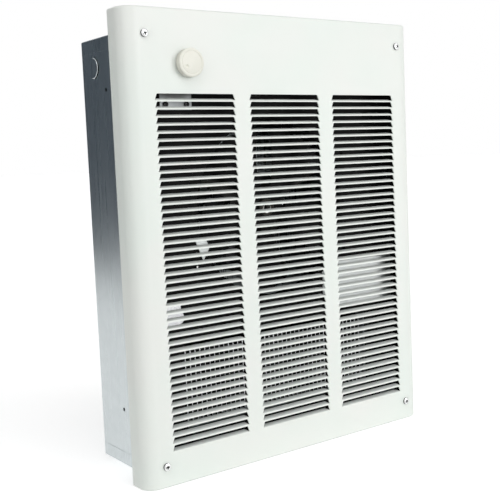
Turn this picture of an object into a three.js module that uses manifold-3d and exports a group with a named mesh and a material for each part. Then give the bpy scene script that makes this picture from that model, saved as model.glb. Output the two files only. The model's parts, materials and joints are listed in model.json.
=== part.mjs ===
// A recessed bathroom wall fan heater, in millimetres.
// X runs to the right and Z up as one faces the heater; -Y points into the room.
// The origin is the centre of the wall box's back panel, on its outer face.
import * as THREE from 'three';
import { mergeVertices } from 'three/addons/utils/BufferGeometryUtils.js';
import Module from 'manifold-3d';

// ---------------------------------------------------------------- driving dimensions
const SEAT_GAP = 0.15; // face of a piece to the face that it rests on
const HOLE_PLAY = 0.3; // shank of a screw to the wall of its hole
const RUNNING_GAP = 0.25; // turning shaft to the wall round it
const CUT_PAST = 1; // how far a cutting body reaches past the face that it cuts

// Wall box: a folded galvanised tray, open to the room
const BOX_WIDTH = 380;
const BOX_HEIGHT = 475;
const BOX_DEPTH = 95;
const BOX_SHEET = 1.2;
const BOX_FLANGE_WIDTH = 20; // turned-in flange along the top and the bottom edge
const KNOCKOUT_RADIUS = 13;
const KNOCKOUT_SLIT = 0.9;
const KNOCKOUT_TAB_HALF_ANGLE = 13; // degrees
const KNOCKOUT_FROM_TOP = 32;
const KNOCKOUT_FROM_BACK = 30;
const NAIL_HOLE_RADIUS = 2.2;
const NAIL_HOLE_FROM_FRONT = 39;
const UPPER_NAIL_HOLE_HEIGHT = 180;
const LOWER_NAIL_HOLE_HEIGHT = -172.5;

// Front cover: one painted sheet with rolled sides and three columns of louvres
const COVER_PAST_BOX_SIDE = 14;
const COVER_PAST_BOX_TOP = 21.5;
const COVER_PAST_BOX_BOTTOM = 8.5;
const COVER_SHEET = 1.2;
const COVER_DEPTH = 31; // from the wall's surface to the cover's face
const COVER_ROLL_RADIUS = 18;
const COVER_FLANGE_DEPTH = 14; // turned-back flange along the top and the bottom edge
const LOUVRE_COLUMNS = 3;
const LOUVRE_COLUMN_GAP = 18.4;
const LOUVRES_FROM_COVER_SIDE = 33.2;
const LOUVRES_FROM_COVER_BOTTOM = 38; // least height of plain sheet below the last louvre
const LOUVRE_ROW_PITCH = 8.27;
const LOUVRE_SLOT_HEIGHT = 5.2;
const LOUVRE_END_SLANT = 2.8; // how far each slot end leans in over its height
const TOP_LOUVRE_BELOW_COVER_TOP = 94.25;
const TONGUE_REACH = 4.5; // from the cover's face to the tongue's tip
const TONGUE_RISE = 2; // tip above the slot's lower edge
const TONGUE_THICKNESS = 1;
const COVER_SCREW_FROM_BOX_SIDE = 11;
const UPPER_COVER_SCREW_FROM_BOX_TOP = 6;
const LOWER_COVER_SCREW_FROM_BOX_BOTTOM = 15;

// Screws
const COVER_SCREW_RADIUS = 2;
const COVER_SCREW_HEAD_RADIUS = 4.2;
const COVER_SCREW_HEAD_HEIGHT = 2.4;
const COVER_SCREW_PAST_FLANGE = 5;
const SMALL_SCREW_RADIUS = 1.8;
const SMALL_SCREW_HEAD_RADIUS = 3.6;
const SMALL_SCREW_HEAD_HEIGHT = 2.2;
const SMALL_SCREW_REACH = 6;
const BOLT_HEAD_RADIUS = 3.8;
const BOLT_HEAD_HEIGHT = 2.6;

// Fan panel: the black sheet that carries the works and closes the box
const PANEL_SIDE_PLAY = 1.3; // panel's side flanges to the box's inner faces
const PANEL_FROM_BOX_END = 4.5;
const PANEL_SHEET = 1.2;
const PANEL_FLANGE_DEPTH = 12;
const PANEL_FLANGE_END = 28; // side flanges stop this far from the corners
const PANEL_NOTCH_WIDTH = 24;
const PANEL_NOTCH_HEIGHT = 22;
const PANEL_SCREW_SPACING_X = 240;
const PANEL_SCREW_FROM_EDGE = 7;
const FAN_TIP_CLEARANCE = 6; // blade tips to the orifice's wall
const ORIFICE_COLLAR_DEPTH = 13;
const ORIFICE_LIP_RADIUS = 5;
const ORIFICE_RIM_SEAM = 0.4; // how far the lip's rim is let into the panel's sheet
const ORIFICE_SIDES = 32; // flats round the orifice
const DISCHARGE_PAST_FINS = 5; // opening's edge above and below the fins

// Fan and motor
const FAN_CENTRE_HEIGHT = 41;
const FAN_RADIUS = 98;
const FAN_BLADES = 5;
const FAN_DEPTH = 23;
const FAN_SHEET = 1.2;
const FAN_BEHIND_PANEL = 16; // middle of the blades behind the box's front edge
const FAN_SPIDER_RADIUS = 25;
const BLADE_ROOT_HALF_ANGLE = 17; // degrees
const BLADE_TIP_HALF_ANGLE = 27; // degrees
const BLADE_CAMBER = 2.2;
const BLADE_ROOT_LIFT = 0.35; // share of the tip's pitch that the root has
const BLADE_CORNERS_START = 0.6; // share of the span where the corners begin to round off
const BLADE_CORNER_TRIM = 0.16;
const BLADE_IN_SPIDER = 3;
const FIRST_BLADE_ANGLE = 197; // degrees from +X towards +Z
const HUB_RADIUS = 11;
const HUB_FLANGE_RADIUS = 16;
const HUB_FLANGE_THICKNESS = 2;
const HUB_STEP = 1;
const HUB_BEFORE_FAN = 3;
const HUB_LENGTH = 13;
const SHAFT_RADIUS = 3;
const SHAFT_CHAMFER = 0.6;
const SHAFT_BEFORE_FAN = 7;
const SHAFT_PAST_REAR_BAR = 2.85;
const MOTOR_BRACKET_SHEET = 1.6;
const MOTOR_BRACKET_BEHIND_PANEL = 32.4; // back face of its web behind the box's front edge
const MOTOR_BRACKET_ARM_WIDTH = 18;
const MOTOR_BRACKET_PLATE_RADIUS = 42;
const MOTOR_BRACKET_LEG_CLEARANCE = 4; // legs to the orifice's lip
const MOTOR_BRACKET_BORE_CLEARANCE = 2; // round the bearing's cup
const BAR_TO_BRACKET = 0.45; // motor's front bar to the bracket's web
const MOTOR_BRACKET_FOOT_LENGTH = 24;
const MOTOR_BRACKET_ARM_ANGLE = 28; // degrees above and below the horizontal
const STACK_HALF_WIDTH = 40;
const STACK_THICKNESS = 24;
const STACK_CHAMFER = 6;
const STACK_ABOVE_AXIS = 22;
const STACK_BELOW_AXIS = 69;
const STACK_LEG_WIDTH = 14;
const STACK_CORE_HEIGHT = 19;
const STACK_YOKE_BELOW_AXIS = 24;
const ROTOR_RADIUS = 17;
const ROTOR_AIR_GAP = 0.5;
const ROTOR_PAST_STACK = 1;
const COIL_WALL = 8;
const COIL_PLAY = 0.4;
const COIL_END_CLEARANCE = 2;
const COIL_CORNER_RADIUS = 3;
const MOTOR_BOLT_SPACING = 66;
const MOTOR_BOLT_RADIUS = 2;
const BEARING_RADIUS = 6.5;
const BEARING_LENGTH = 6;
const BEARING_CUP_RADIUS = 10;
const BEARING_CUP_LENGTH = 8.5;
const BEARING_BAR_THICKNESS = 2;
const BEARING_BAR_HEIGHT = 15;
const BEARING_POST_LENGTH = 10;
const BEARING_POST_RADIUS = 6.5;
const BEARING_SIDES = 12; // flats on the bearing and in its cup, which match
const SHAFT_HOLE_CLEARANCE = 1;

// Heating elements: hairpins of sheathed rod with brazed plate fins
const ELEMENT_SPACING = 44; // upper element's centre to the lower one's
const ELEMENTS_ABOVE_BOX_BOTTOM = 88; // middle of the two elements
const ELEMENT_ROD_RADIUS = 4;
const ELEMENT_ROD_SPACING = 22;
const ELEMENT_BEHIND_PANEL = 18.5; // rods' centre behind the box's front edge
const FIN_PITCH = 7.5;
const FIN_THICKNESS = 0.6;
const FIN_HEIGHT = 42;
const FIN_DEPTH = 25;
const END_PLATE_SHEET = 1.2;
const LEFT_END_PLATE_FROM_BOX_SIDE = 57.5;
const RIGHT_END_PLATE_FROM_BOX_SIDE = 51;
const END_PLATE_PAST_DISCHARGE = 4; // above and below the discharge opening
const END_PLATE_DEPTH = 35; // from the box's front edge to the plate's back edge
const END_PLATE_PAST_FINS = 4.5;
const END_PLATE_FOOT = 14;
const ROD_PAST_END_PLATE = 10;
const TERMINAL_RADIUS = 3.4;
const TERMINAL_LENGTH = 9;
const TERMINAL_PIN_RADIUS = 1.5;
const TERMINAL_PIN_LENGTH = 9;

// Thermostat, its knob and its sensing bulb
const KNOB_FROM_COVER_SIDE = 75.5;
const KNOB_BELOW_COVER_TOP = 56.5;
const KNOB_RADIUS = 15.5;
const KNOB_HEIGHT = 8.4;
const KNOB_GAP = 0.8; // knob's back to the cover's face
const KNOB_BEVEL = 2.2;
const KNOB_DOME = 0.9;
const KNOB_CROWN_SHARE = 0.5; // share of the radius where a quarter of the dome is reached
const KNOB_WALL = 2;
const KNOB_BOSS_RADIUS = 5.5;
const KNOB_MARK_RADIUS = 0.9;
const KNOB_MARK_DEPTH = 0.6;
const KNOB_MARK_OFFSET = 7.5;
const KNOB_MARK_ANGLE = 232; // degrees from +X towards +Z
const KNOB_HOLE_RADIUS = 7;
const STEM_RADIUS = 3;
const STEM_IN_KNOB = 5.5;
const STEM_END_PLAY = 0.2;
const STEM_IN_BODY = 12;
const STEM_BORE_PAST_STEM = 0.5;
const BUSHING_RADIUS = 4.8;
const BUSHING_PAST_NUT = 1;
const BUSHING_NUT_RADIUS = 7.5;
const BUSHING_NUT_HEIGHT = 2.4;
const THERMOSTAT_WIDTH = 38;
const THERMOSTAT_HEIGHT = 44;
const THERMOSTAT_DEPTH = 20;
const THERMOSTAT_BRACKET_WIDTH = 40;
const THERMOSTAT_BRACKET_SHEET = 1.2;
const THERMOSTAT_BRACKET_FOOT = 17;
const THERMOSTAT_BRACKET_BELOW_KNOB = 30; // shelf of the bracket below the knob's axis
const THERMOSTAT_BRACKET_ABOVE_KNOB = 24;
const THERMOSTAT_BRACKET_STAND = 25; // face of its plate in front of the panel
const THERMOSTAT_SCREW_SPACING = 26.5;
const THERMOSTAT_SCREW_BELOW_SHELF = 11;
const BULB_RADIUS = 4;
const BULB_LENGTH = 84;
const BULB_RIGHT_OF_KNOB = 66.5; // bulb's left end from the knob's axis
const BULB_BELOW_KNOB = 18.5;
const BULB_STAND = 9; // bulb's centre in front of the panel
const CAPILLARY_RADIUS = 1.1;
const CAPILLARY_LEAD = 8; // straight run out of the case
const CAPILLARY_REACH = 34;
const CAPILLARY_BOW = 9;
const CAPILLARY_TURN_BACK = 4;
const CAPILLARY_IN_BULB = 3;
const BULB_CLIP_SHEET = 1;
const BULB_CLIP_WIDTH = 12;
const BULB_CLIP_FOOT = 10;
const BULB_CLIP_MOUTH_HALF_ANGLE = 50; // degrees

// Safety switches
const DISC_RADIUS = 8;
const DISC_BODY_DEPTH = 9;
const DISC_FLANGE_LENGTH = 32;
const DISC_FLANGE_WIDTH = 20;
const DISC_FLANGE_THICKNESS = 1;
const DISC_CAP_HEIGHT = 4;
const DISC_CAP_STEP = 0.5; // cap's radius over the body's
const DISC_TAB_OFFSET = 4;
const DISC_TAB_THICKNESS = 0.8;
const DISC_TAB_WIDTH = 5;
const DISC_TAB_LENGTH = 7;
const LIMIT_SWITCH_LEFT_OF_PLATE = 5.5;
const LIMIT_SWITCH_ABOVE_PLATE = 25.5;
const DELAY_SWITCH_TAB_HEIGHT = 38; // tab above the right end plate that carries it

// Wiring compartment
const WIRING_COVER_FROM_BOX_SIDE = 6;
const WIRING_COVER_WIDTH = 114;
const WIRING_COVER_BOTTOM = -84.5;
const WIRING_COVER_TOP = -31;
const WIRING_COVER_STAND = 13.6;
const WIRING_COVER_SHEET = 1;
const WIRING_COVER_EAR = 10;
const WIRING_COVER_EAR_INSET = 12; // ears and end walls inside the lid's long edges
const TERMINAL_BLOCK_LENGTH = 62;
const TERMINAL_BLOCK_HEIGHT = 22;
const TERMINAL_BLOCK_DEPTH = 11;
const TERMINAL_BLOCK_WAYS = 3;
const TERMINAL_BARRIER_HALF = 1.5;
const TERMINAL_WAY_DEPTH = 5;
const TERMINAL_SCREW_RADIUS = 3;
const TERMINAL_SCREW_SUNK = 2.5;
const GROUND_SCREW_FROM_BLOCK = 9;
const GROUND_SCREW_BELOW_BLOCK_CENTRE = 14;

// ---------------------------------------------------------------- planes that pieces share
const boxFront = -BOX_DEPTH;
const boxHalfWidth = BOX_WIDTH / 2;
const boxHalfHeight = BOX_HEIGHT / 2;
const coverFace = boxFront - COVER_DEPTH;
const coverBack = coverFace + COVER_SHEET;
const coverHalfWidth = boxHalfWidth + COVER_PAST_BOX_SIDE;
const coverTop = boxHalfHeight + COVER_PAST_BOX_TOP;
const coverBottom = -boxHalfHeight - COVER_PAST_BOX_BOTTOM;
const louvreFieldWidth = 2 * (coverHalfWidth - LOUVRES_FROM_COVER_SIDE);
const louvreWidth = (louvreFieldWidth - (LOUVRE_COLUMNS - 1) * LOUVRE_COLUMN_GAP) / LOUVRE_COLUMNS;
const topLouvre = coverTop - TOP_LOUVRE_BELOW_COVER_TOP;
const louvreRows = 1 + Math.floor((topLouvre - coverBottom - LOUVRES_FROM_COVER_BOTTOM) / LOUVRE_ROW_PITCH);
const panelBack = boxFront - SEAT_GAP;
const panelFront = panelBack - PANEL_SHEET;
const panelHalfWidth = boxHalfWidth - BOX_SHEET - PANEL_SIDE_PLAY;
const panelHalfHeight = boxHalfHeight - PANEL_FROM_BOX_END;
const fanPlate = boxFront + FAN_BEHIND_PANEL;
const orificeRadius = FAN_RADIUS + FAN_TIP_CLEARANCE;
const bracketLegRadius = orificeRadius + ORIFICE_LIP_RADIUS + MOTOR_BRACKET_LEG_CLEARANCE;
const bracketBack = boxFront + MOTOR_BRACKET_BEHIND_PANEL;
const bracketFront = bracketBack - MOTOR_BRACKET_SHEET;
const barReach = SEAT_GAP + BEARING_POST_LENGTH + BEARING_BAR_THICKNESS;
const stackFront = bracketBack + BAR_TO_BRACKET + barReach;
const stackBack = stackFront + STACK_THICKNESS;
const knobX = KNOB_FROM_COVER_SIDE - coverHalfWidth;
const knobHeight = coverTop - KNOB_BELOW_COVER_TOP;
const knobBack = coverFace - KNOB_GAP;
const knobFront = knobBack - KNOB_HEIGHT;
const thermostatPlateFront = panelFront - THERMOSTAT_BRACKET_STAND;
const thermostatPlateBack = thermostatPlateFront + THERMOSTAT_BRACKET_SHEET;
const thermostatFront = thermostatPlateBack + SEAT_GAP;
const bushingFront = thermostatPlateFront - SEAT_GAP - BUSHING_NUT_HEIGHT - BUSHING_PAST_NUT;
const bulbLeft = knobX + BULB_RIGHT_OF_KNOB;
const bulbHeight = knobHeight - BULB_BELOW_KNOB;
const bulbY = panelFront - BULB_STAND;
const leftEndPlateX = LEFT_END_PLATE_FROM_BOX_SIDE - boxHalfWidth;
const rightEndPlateX = boxHalfWidth - RIGHT_END_PLATE_FROM_BOX_SIDE;
const firstFinX = leftEndPlateX + END_PLATE_PAST_FINS;
const finCount = 1 + Math.floor((rightEndPlateX - END_PLATE_PAST_FINS - firstFinX) / FIN_PITCH);
const elementY = boxFront + ELEMENT_BEHIND_PANEL;
const elementsMiddle = ELEMENTS_ABOVE_BOX_BOTTOM - boxHalfHeight;
const dischargeHalfHeight = (ELEMENT_SPACING + FIN_HEIGHT) / 2 + DISCHARGE_PAST_FINS;
const endPlateHalfHeight = dischargeHalfHeight + END_PLATE_PAST_DISCHARGE;
const endPlateTop = elementsMiddle + endPlateHalfHeight;
const endPlateBack = boxFront + END_PLATE_DEPTH;
const delaySwitchY = (panelBack + endPlateBack) / 2;
const delaySwitchZ = endPlateTop + DELAY_SWITCH_TAB_HEIGHT / 2;
const limitSwitchX = leftEndPlateX - LIMIT_SWITCH_LEFT_OF_PLATE;
const limitSwitchHeight = endPlateTop + LIMIT_SWITCH_ABOVE_PLATE;
const wiringCoverRight = boxHalfWidth - WIRING_COVER_FROM_BOX_SIDE;
const wiringCoverLeft = wiringCoverRight - WIRING_COVER_WIDTH;
const wiringCoverMiddle = (WIRING_COVER_BOTTOM + WIRING_COVER_TOP) / 2;
const terminalBlockX = (wiringCoverLeft + wiringCoverRight) / 2;

// ---------------------------------------------------------------- solids
const wasm = await Module();
wasm.setup();

// Turns a closed geometry into a solid with its faces pointing out.
function solid(geometry) {
  const plain = geometry.clone();
  plain.deleteAttribute('normal');
  plain.deleteAttribute('uv');
  const merged = mergeVertices(plain, 1e-4);
  const corners = merged.attributes.position.array;
  const faces = [];
  let volume = 0;
  const [a, b, c] = [new THREE.Vector3(), new THREE.Vector3(), new THREE.Vector3()];
  for (let i = 0; i < merged.index.count; i += 3) {
    const [p, q, r] = [0, 1, 2].map((k) => merged.index.array[i + k]);
    if (p === q || q === r || r === p) continue;
    faces.push([p, q, r]);
    a.fromArray(corners, 3 * p);
    b.fromArray(corners, 3 * q);
    c.fromArray(corners, 3 * r);
    volume += a.dot(b.cross(c));
  }
  const outward = volume > 0 ? faces : faces.map(([p, q, r]) => [p, r, q]);
  return new wasm.Manifold(new wasm.Mesh({
    numProp: 3,
    vertProperties: Float32Array.from(corners),
    triVerts: Uint32Array.from(outward.flat()),
  }));
}

const join = (pieces) => pieces.reduce((whole, piece) => whole.add(piece));
const cut = (body, tools) => (tools.length ? body.subtract(join(tools)) : body);
const radians = THREE.MathUtils.degToRad;

// A block between two planes along each axis.
function block(x0, x1, y0, y1, z0, z1) {
  const geometry = new THREE.BoxGeometry(x1 - x0, y1 - y0, z1 - z0);
  geometry.translate((x0 + x1) / 2, (y0 + y1) / 2, (z0 + z1) / 2);
  return solid(geometry);
}

function extrude(shape, depth, curveSegments = 6) {
  return new THREE.ExtrudeGeometry(shape, { depth, bevelEnabled: false, curveSegments });
}

// A sheet parallel to the wall: the outline is drawn in X and Z.
function wallSheet(shape, yFront, yBack, curveSegments) {
  const geometry = extrude(shape, yBack - yFront, curveSegments);
  geometry.rotateX(Math.PI / 2);
  geometry.translate(0, yBack, 0);
  return solid(geometry);
}

// A profile drawn in X and Y, run upwards from z0 to z1.
function upright(shape, z0, z1, curveSegments) {
  const geometry = extrude(shape, z1 - z0, curveSegments);
  geometry.translate(0, 0, z0);
  return solid(geometry);
}

// Takes a profile's own X, Y and depth to Y, Z and X.
const profileToSideways = new THREE.Matrix4().makeBasis(
  new THREE.Vector3(0, 1, 0),
  new THREE.Vector3(0, 0, 1),
  new THREE.Vector3(1, 0, 0),
);

// A profile drawn in Y and Z, run sideways from x0 to x1.
function sideways(shape, x0, x1, curveSegments) {
  const geometry = extrude(shape, x1 - x0, curveSegments);
  geometry.applyMatrix4(profileToSideways);
  geometry.translate(x0, 0, 0);
  return solid(geometry);
}

// A body of revolution about a line along Y through x, z. Points are [radius, y].
function turned(points, x, z, sides = 16) {
  const geometry = new THREE.LatheGeometry(points.map(([r, y]) => new THREE.Vector2(r, y)), sides);
  geometry.translate(x, 0, z);
  return solid(geometry);
}

// A round bar along Y between two planes.
function barAlongY(radius, y0, y1, x, z, sides = 12) {
  const geometry = new THREE.CylinderGeometry(radius, radius, y1 - y0, sides);
  geometry.translate(x, (y0 + y1) / 2, z);
  return solid(geometry);
}

// A round bar along X between two planes.
function barAlongX(radius, x0, x1, y, z, sides = 12) {
  const geometry = new THREE.CylinderGeometry(radius, radius, x1 - x0, sides);
  geometry.rotateZ(Math.PI / 2);
  geometry.translate((x0 + x1) / 2, y, z);
  return solid(geometry);
}

// A round rod or tube that follows a curve.
function rodAlong(curve, radius, steps, sides) {
  const section = polygon(Array.from({ length: sides }, (_, i) => {
    const angle = (2 * Math.PI * i) / sides;
    return [radius * Math.cos(angle), radius * Math.sin(angle)];
  }));
  const options = { steps, extrudePath: curve, bevelEnabled: false };
  return solid(new THREE.ExtrudeGeometry(section, options));
}

function polygon(points) {
  return new THREE.Shape(points.map(([x, y]) => new THREE.Vector2(x, y)));
}

function rectangle(x0, x1, z0, z1) {
  return polygon([[x0, z0], [x1, z0], [x1, z1], [x0, z1]]);
}

function hole(x, z, radius) {
  return new THREE.Path().absarc(x, z, radius, 0, 2 * Math.PI, true);
}

// The scene's materials: colour, roughness, metalness
const finishes = {
  galvanised: [0x9aa3a8, 0.45, 0.9],
  white_paint: [0xeceee8, 0.4, 0],
  black_paint: [0x161616, 0.6, 0],
  screw_steel: [0xb4b6b4, 0.35, 1],
  aluminium: [0xa9acae, 0.4, 1],
  shaft_steel: [0x8d8f90, 0.3, 1],
  lamination: [0x3c3d40, 0.55, 0.8],
  coil_tape: [0x2b2a26, 0.7, 0],
  cast_zinc: [0x8a8d8f, 0.5, 0.9],
  bronze: [0x9a6b35, 0.45, 0.9],
  fin_steel: [0x6f7274, 0.5, 0.9],
  ceramic: [0xe6e1d3, 0.5, 0],
  cream_plastic: [0xeeece2, 0.45, 0],
  black_plastic: [0x1c1c1d, 0.5, 0],
  copper: [0xb0693f, 0.35, 1],
  brass: [0xb69a4c, 0.4, 1],
  green_paint: [0x2f7a3c, 0.45, 0.2],
};

const heater = new THREE.Group();

// Adds a solid to the heater as one named sub-part.
function addPart(name, body, finish, parent = heater) {
  const mesh = body.getMesh();
  const shared = new THREE.BufferGeometry();
  shared.setAttribute('position', new THREE.BufferAttribute(mesh.vertProperties, 3));
  shared.setIndex(new THREE.BufferAttribute(mesh.triVerts, 1));
  const geometry = shared.toNonIndexed();
  geometry.computeVertexNormals();
  const [color, roughness, metalness] = finishes[finish];
  const part = new THREE.Mesh(geometry, new THREE.MeshStandardMaterial({ color, roughness, metalness }));
  part.name = name;
  parent.add(part);
}

// ---------------------------------------------------------------- places of the fasteners
const sides = [['left', -1], ['right', 1]];
const coverScrewPlaces = [
  ['upper', boxHalfHeight - UPPER_COVER_SCREW_FROM_BOX_TOP],
  ['lower', LOWER_COVER_SCREW_FROM_BOX_BOTTOM - boxHalfHeight],
].flatMap(([row, z]) => sides.map(([side, way]) => ({
  name: `cover_screw_${row}_${side}`,
  x: way * (boxHalfWidth - COVER_SCREW_FROM_BOX_SIDE),
  z,
})));
const panelScrewPlaces = [['upper', 1], ['lower', -1]].flatMap(([row, up]) => sides.map(([side, way]) => ({
  name: `panel_screw_${row}_${side}`,
  x: (way * PANEL_SCREW_SPACING_X) / 2,
  z: up * (panelHalfHeight - PANEL_SCREW_FROM_EDGE),
})));
const motorArmAngles = [
  ['upper_right', MOTOR_BRACKET_ARM_ANGLE],
  ['upper_left', 180 - MOTOR_BRACKET_ARM_ANGLE],
  ['lower_left', 180 + MOTOR_BRACKET_ARM_ANGLE],
  ['lower_right', -MOTOR_BRACKET_ARM_ANGLE],
];
const motorFootRadius = bracketLegRadius + MOTOR_BRACKET_FOOT_LENGTH / 2;
const motorFootPlaces = motorArmAngles.map(([name, degrees]) => ({
  name: `motor_bracket_screw_${name}`,
  x: motorFootRadius * Math.cos(radians(degrees)),
  z: FAN_CENTRE_HEIGHT + motorFootRadius * Math.sin(radians(degrees)),
}));
const thermostatShelf = knobHeight - THERMOSTAT_BRACKET_BELOW_KNOB;
const thermostatScrewPlaces = sides.map(([side, way]) => ({
  name: `thermostat_bracket_screw_${side}`,
  x: knobX + (way * THERMOSTAT_SCREW_SPACING) / 2,
  z: thermostatShelf - THERMOSTAT_SCREW_BELOW_SHELF,
}));
const wiringScrewPlaces = [
  ['left', wiringCoverLeft + WIRING_COVER_EAR / 2],
  ['right', wiringCoverRight - WIRING_COVER_EAR / 2],
].map(([side, x]) => ({ name: `wiring_cover_screw_${side}`, x, z: wiringCoverMiddle }));
const groundScrewPlace = {
  name: 'ground_screw',
  x: terminalBlockX + TERMINAL_BLOCK_LENGTH / 2 + GROUND_SCREW_FROM_BLOCK,
  z: wiringCoverMiddle - GROUND_SCREW_BELOW_BLOCK_CENTRE,
};
const motorBoltPlaces = sides.map(([side, way]) => ({
  name: `motor_bolt_${side}`,
  x: (way * MOTOR_BOLT_SPACING) / 2,
  z: FAN_CENTRE_HEIGHT,
}));
const elementPlaces = [
  ['upper', elementsMiddle + ELEMENT_SPACING / 2],
  ['lower', elementsMiddle - ELEMENT_SPACING / 2],
];
const rodHeights = elementPlaces.flatMap(([, z]) => [1, -1].map((way) => z + (way * ELEMENT_ROD_SPACING) / 2));

// A screw's hole through a sheet whose faces are y0 and y1.
const screwHole = (place, radius, y0, y1) => (
  barAlongY(radius + HOLE_PLAY, y0 - CUT_PAST, y1 + CUT_PAST, place.x, place.z, 6)
);

// ---------------------------------------------------------------- wall box
function wallBox() {
  const [innerWidth, innerHeight] = [boxHalfWidth - BOX_SHEET, boxHalfHeight - BOX_SHEET];
  const shell = block(-boxHalfWidth, boxHalfWidth, boxFront, 0, -boxHalfHeight, boxHalfHeight);
  const inside = block(-innerWidth, innerWidth, boxFront + BOX_SHEET, -BOX_SHEET, -innerHeight, innerHeight);
  const mouthTop = innerHeight - BOX_FLANGE_WIDTH;
  const mouthBack = boxFront + BOX_SHEET + CUT_PAST;
  const mouth = block(-innerWidth, innerWidth, boxFront - CUT_PAST, mouthBack, -mouthTop, mouthTop);
  const flangeHole = (radius) => (place) => screwHole(place, radius, boxFront, boxFront + BOX_SHEET);
  const holes = [
    ...coverScrewPlaces.map(flangeHole(COVER_SCREW_RADIUS)),
    ...panelScrewPlaces.map(flangeHole(SMALL_SCREW_RADIUS)),
  ];
  return cut(shell, [inside, mouth, ...holes, ...sideOpenings()]);
}

// Nail holes for the studs and conduit knockouts, on both sides.
function sideOpenings() {
  const nailY = boxFront + NAIL_HOLE_FROM_FRONT;
  const nailHoles = [UPPER_NAIL_HOLE_HEIGHT, LOWER_NAIL_HOLE_HEIGHT].map((z) => (
    barAlongX(NAIL_HOLE_RADIUS, -boxHalfWidth - CUT_PAST, boxHalfWidth + CUT_PAST, nailY, z, 6)));
  const knockoutHeight = boxHalfHeight - KNOCKOUT_FROM_TOP;
  const reach = BOX_SHEET + CUT_PAST;
  const knockouts = sides.flatMap(([, way]) => {
    const slits = knockoutSlits(knockoutHeight, -KNOCKOUT_FROM_BACK);
    return slits.map((slit) => sideways(slit, way * boxHalfWidth - reach, way * boxHalfWidth + reach, 6));
  });
  return [...nailHoles, ...knockouts];
}

// Two arcs that leave the slug hanging on a tab above and a tab below.
function knockoutSlits(z, y) {
  const tabHalfAngle = radians(KNOCKOUT_TAB_HALF_ANGLE);
  return [0, Math.PI].map((start) => {
    const from = start - Math.PI / 2 + tabHalfAngle;
    const to = start + Math.PI / 2 - tabHalfAngle;
    const slit = new THREE.Shape();
    slit.absarc(y, z, KNOCKOUT_RADIUS, from, to, false);
    slit.absarc(y, z, KNOCKOUT_RADIUS - KNOCKOUT_SLIT, to, from, true);
    return slit;
  });
}

// ---------------------------------------------------------------- front cover
function frontCover() {
  const tools = [
    ...louvrePlaces().map(({ x, z }) => louvreSlot(x, z)),
    barAlongY(KNOB_HOLE_RADIUS, coverFace - CUT_PAST, coverBack + CUT_PAST, knobX, knobHeight, 12),
    ...coverScrewPlaces.map((place) => screwHole(place, COVER_SCREW_RADIUS, coverFace, coverBack)),
  ];
  const tongues = louvrePlaces().map(({ x, z }) => louvreTongue(x, z));
  return join([cut(join([rolledSheet(), ...edgeFlanges()]), tools), ...tongues]);
}

// The face and its two rolled sides, as one profile run up the cover's height.
function rolledSheet() {
  const half = coverHalfWidth;
  const [outer, inner] = [COVER_ROLL_RADIUS, COVER_ROLL_RADIUS - COVER_SHEET];
  const rollY = coverFace + COVER_ROLL_RADIUS;
  const profile = new THREE.Shape();
  profile.moveTo(-half, boxFront);
  profile.absarc(-half + outer, rollY, outer, Math.PI, 1.5 * Math.PI, false);
  profile.absarc(half - outer, rollY, outer, 1.5 * Math.PI, 2 * Math.PI, false);
  profile.lineTo(half, boxFront);
  profile.lineTo(half - COVER_SHEET, boxFront);
  profile.absarc(half - outer, rollY, inner, 2 * Math.PI, 1.5 * Math.PI, true);
  profile.absarc(-half + outer, rollY, inner, 1.5 * Math.PI, Math.PI, true);
  profile.lineTo(COVER_SHEET - half, boxFront);
  return upright(profile, coverBottom, coverTop, 6);
}

function edgeFlanges() {
  const reach = coverHalfWidth - COVER_ROLL_RADIUS;
  const back = coverFace + COVER_FLANGE_DEPTH;
  return [coverBottom, coverTop - COVER_SHEET].map((z) => (
    block(-reach, reach, coverFace + COVER_SHEET / 2, back, z, z + COVER_SHEET)));
}

function louvrePlaces() {
  const places = [];
  for (let column = 0; column < LOUVRE_COLUMNS; column += 1) {
    const x = (column - (LOUVRE_COLUMNS - 1) / 2) * (louvreWidth + LOUVRE_COLUMN_GAP);
    for (let row = 0; row < louvreRows; row += 1) {
      places.push({ x, z: topLouvre - row * LOUVRE_ROW_PITCH });
    }
  }
  return places;
}

// The slot: a low trapezium. x, z is the middle of its lower edge.
function louvreSlot(x, z) {
  const half = louvreWidth / 2;
  const topHalf = half - LOUVRE_END_SLANT;
  const top = z + LOUVRE_SLOT_HEIGHT;
  const shape = polygon([[x - half, z], [x + half, z], [x + topHalf, top], [x - topHalf, top]]);
  return wallSheet(shape, coverFace - CUT_PAST, coverBack + CUT_PAST);
}

// The tongue: the metal of the slot, bent in and up behind the slot's lower edge.
function louvreTongue(x, z) {
  const tipY = coverFace + TONGUE_REACH;
  const slope = Math.hypot(tipY - coverBack, TONGUE_RISE);
  const drop = (TONGUE_THICKNESS * slope) / (tipY - coverBack); // thickness measured upright
  const profile = polygon([
    [coverBack, z - drop], [tipY, z + TONGUE_RISE - drop], [tipY, z + TONGUE_RISE], [coverBack, z],
  ]);
  const geometry = extrude(profile, louvreWidth);
  geometry.translate(0, 0, -louvreWidth / 2);
  const narrowing = 1 - (2 * LOUVRE_END_SLANT) / louvreWidth;
  const corners = geometry.attributes.position;
  for (let i = 0; i < corners.count; i += 1) {
    if (corners.getX(i) > (coverBack + tipY) / 2) corners.setZ(i, corners.getZ(i) * narrowing);
  }
  geometry.applyMatrix4(profileToSideways);
  geometry.translate(x, 0, 0);
  return solid(geometry);
}

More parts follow.
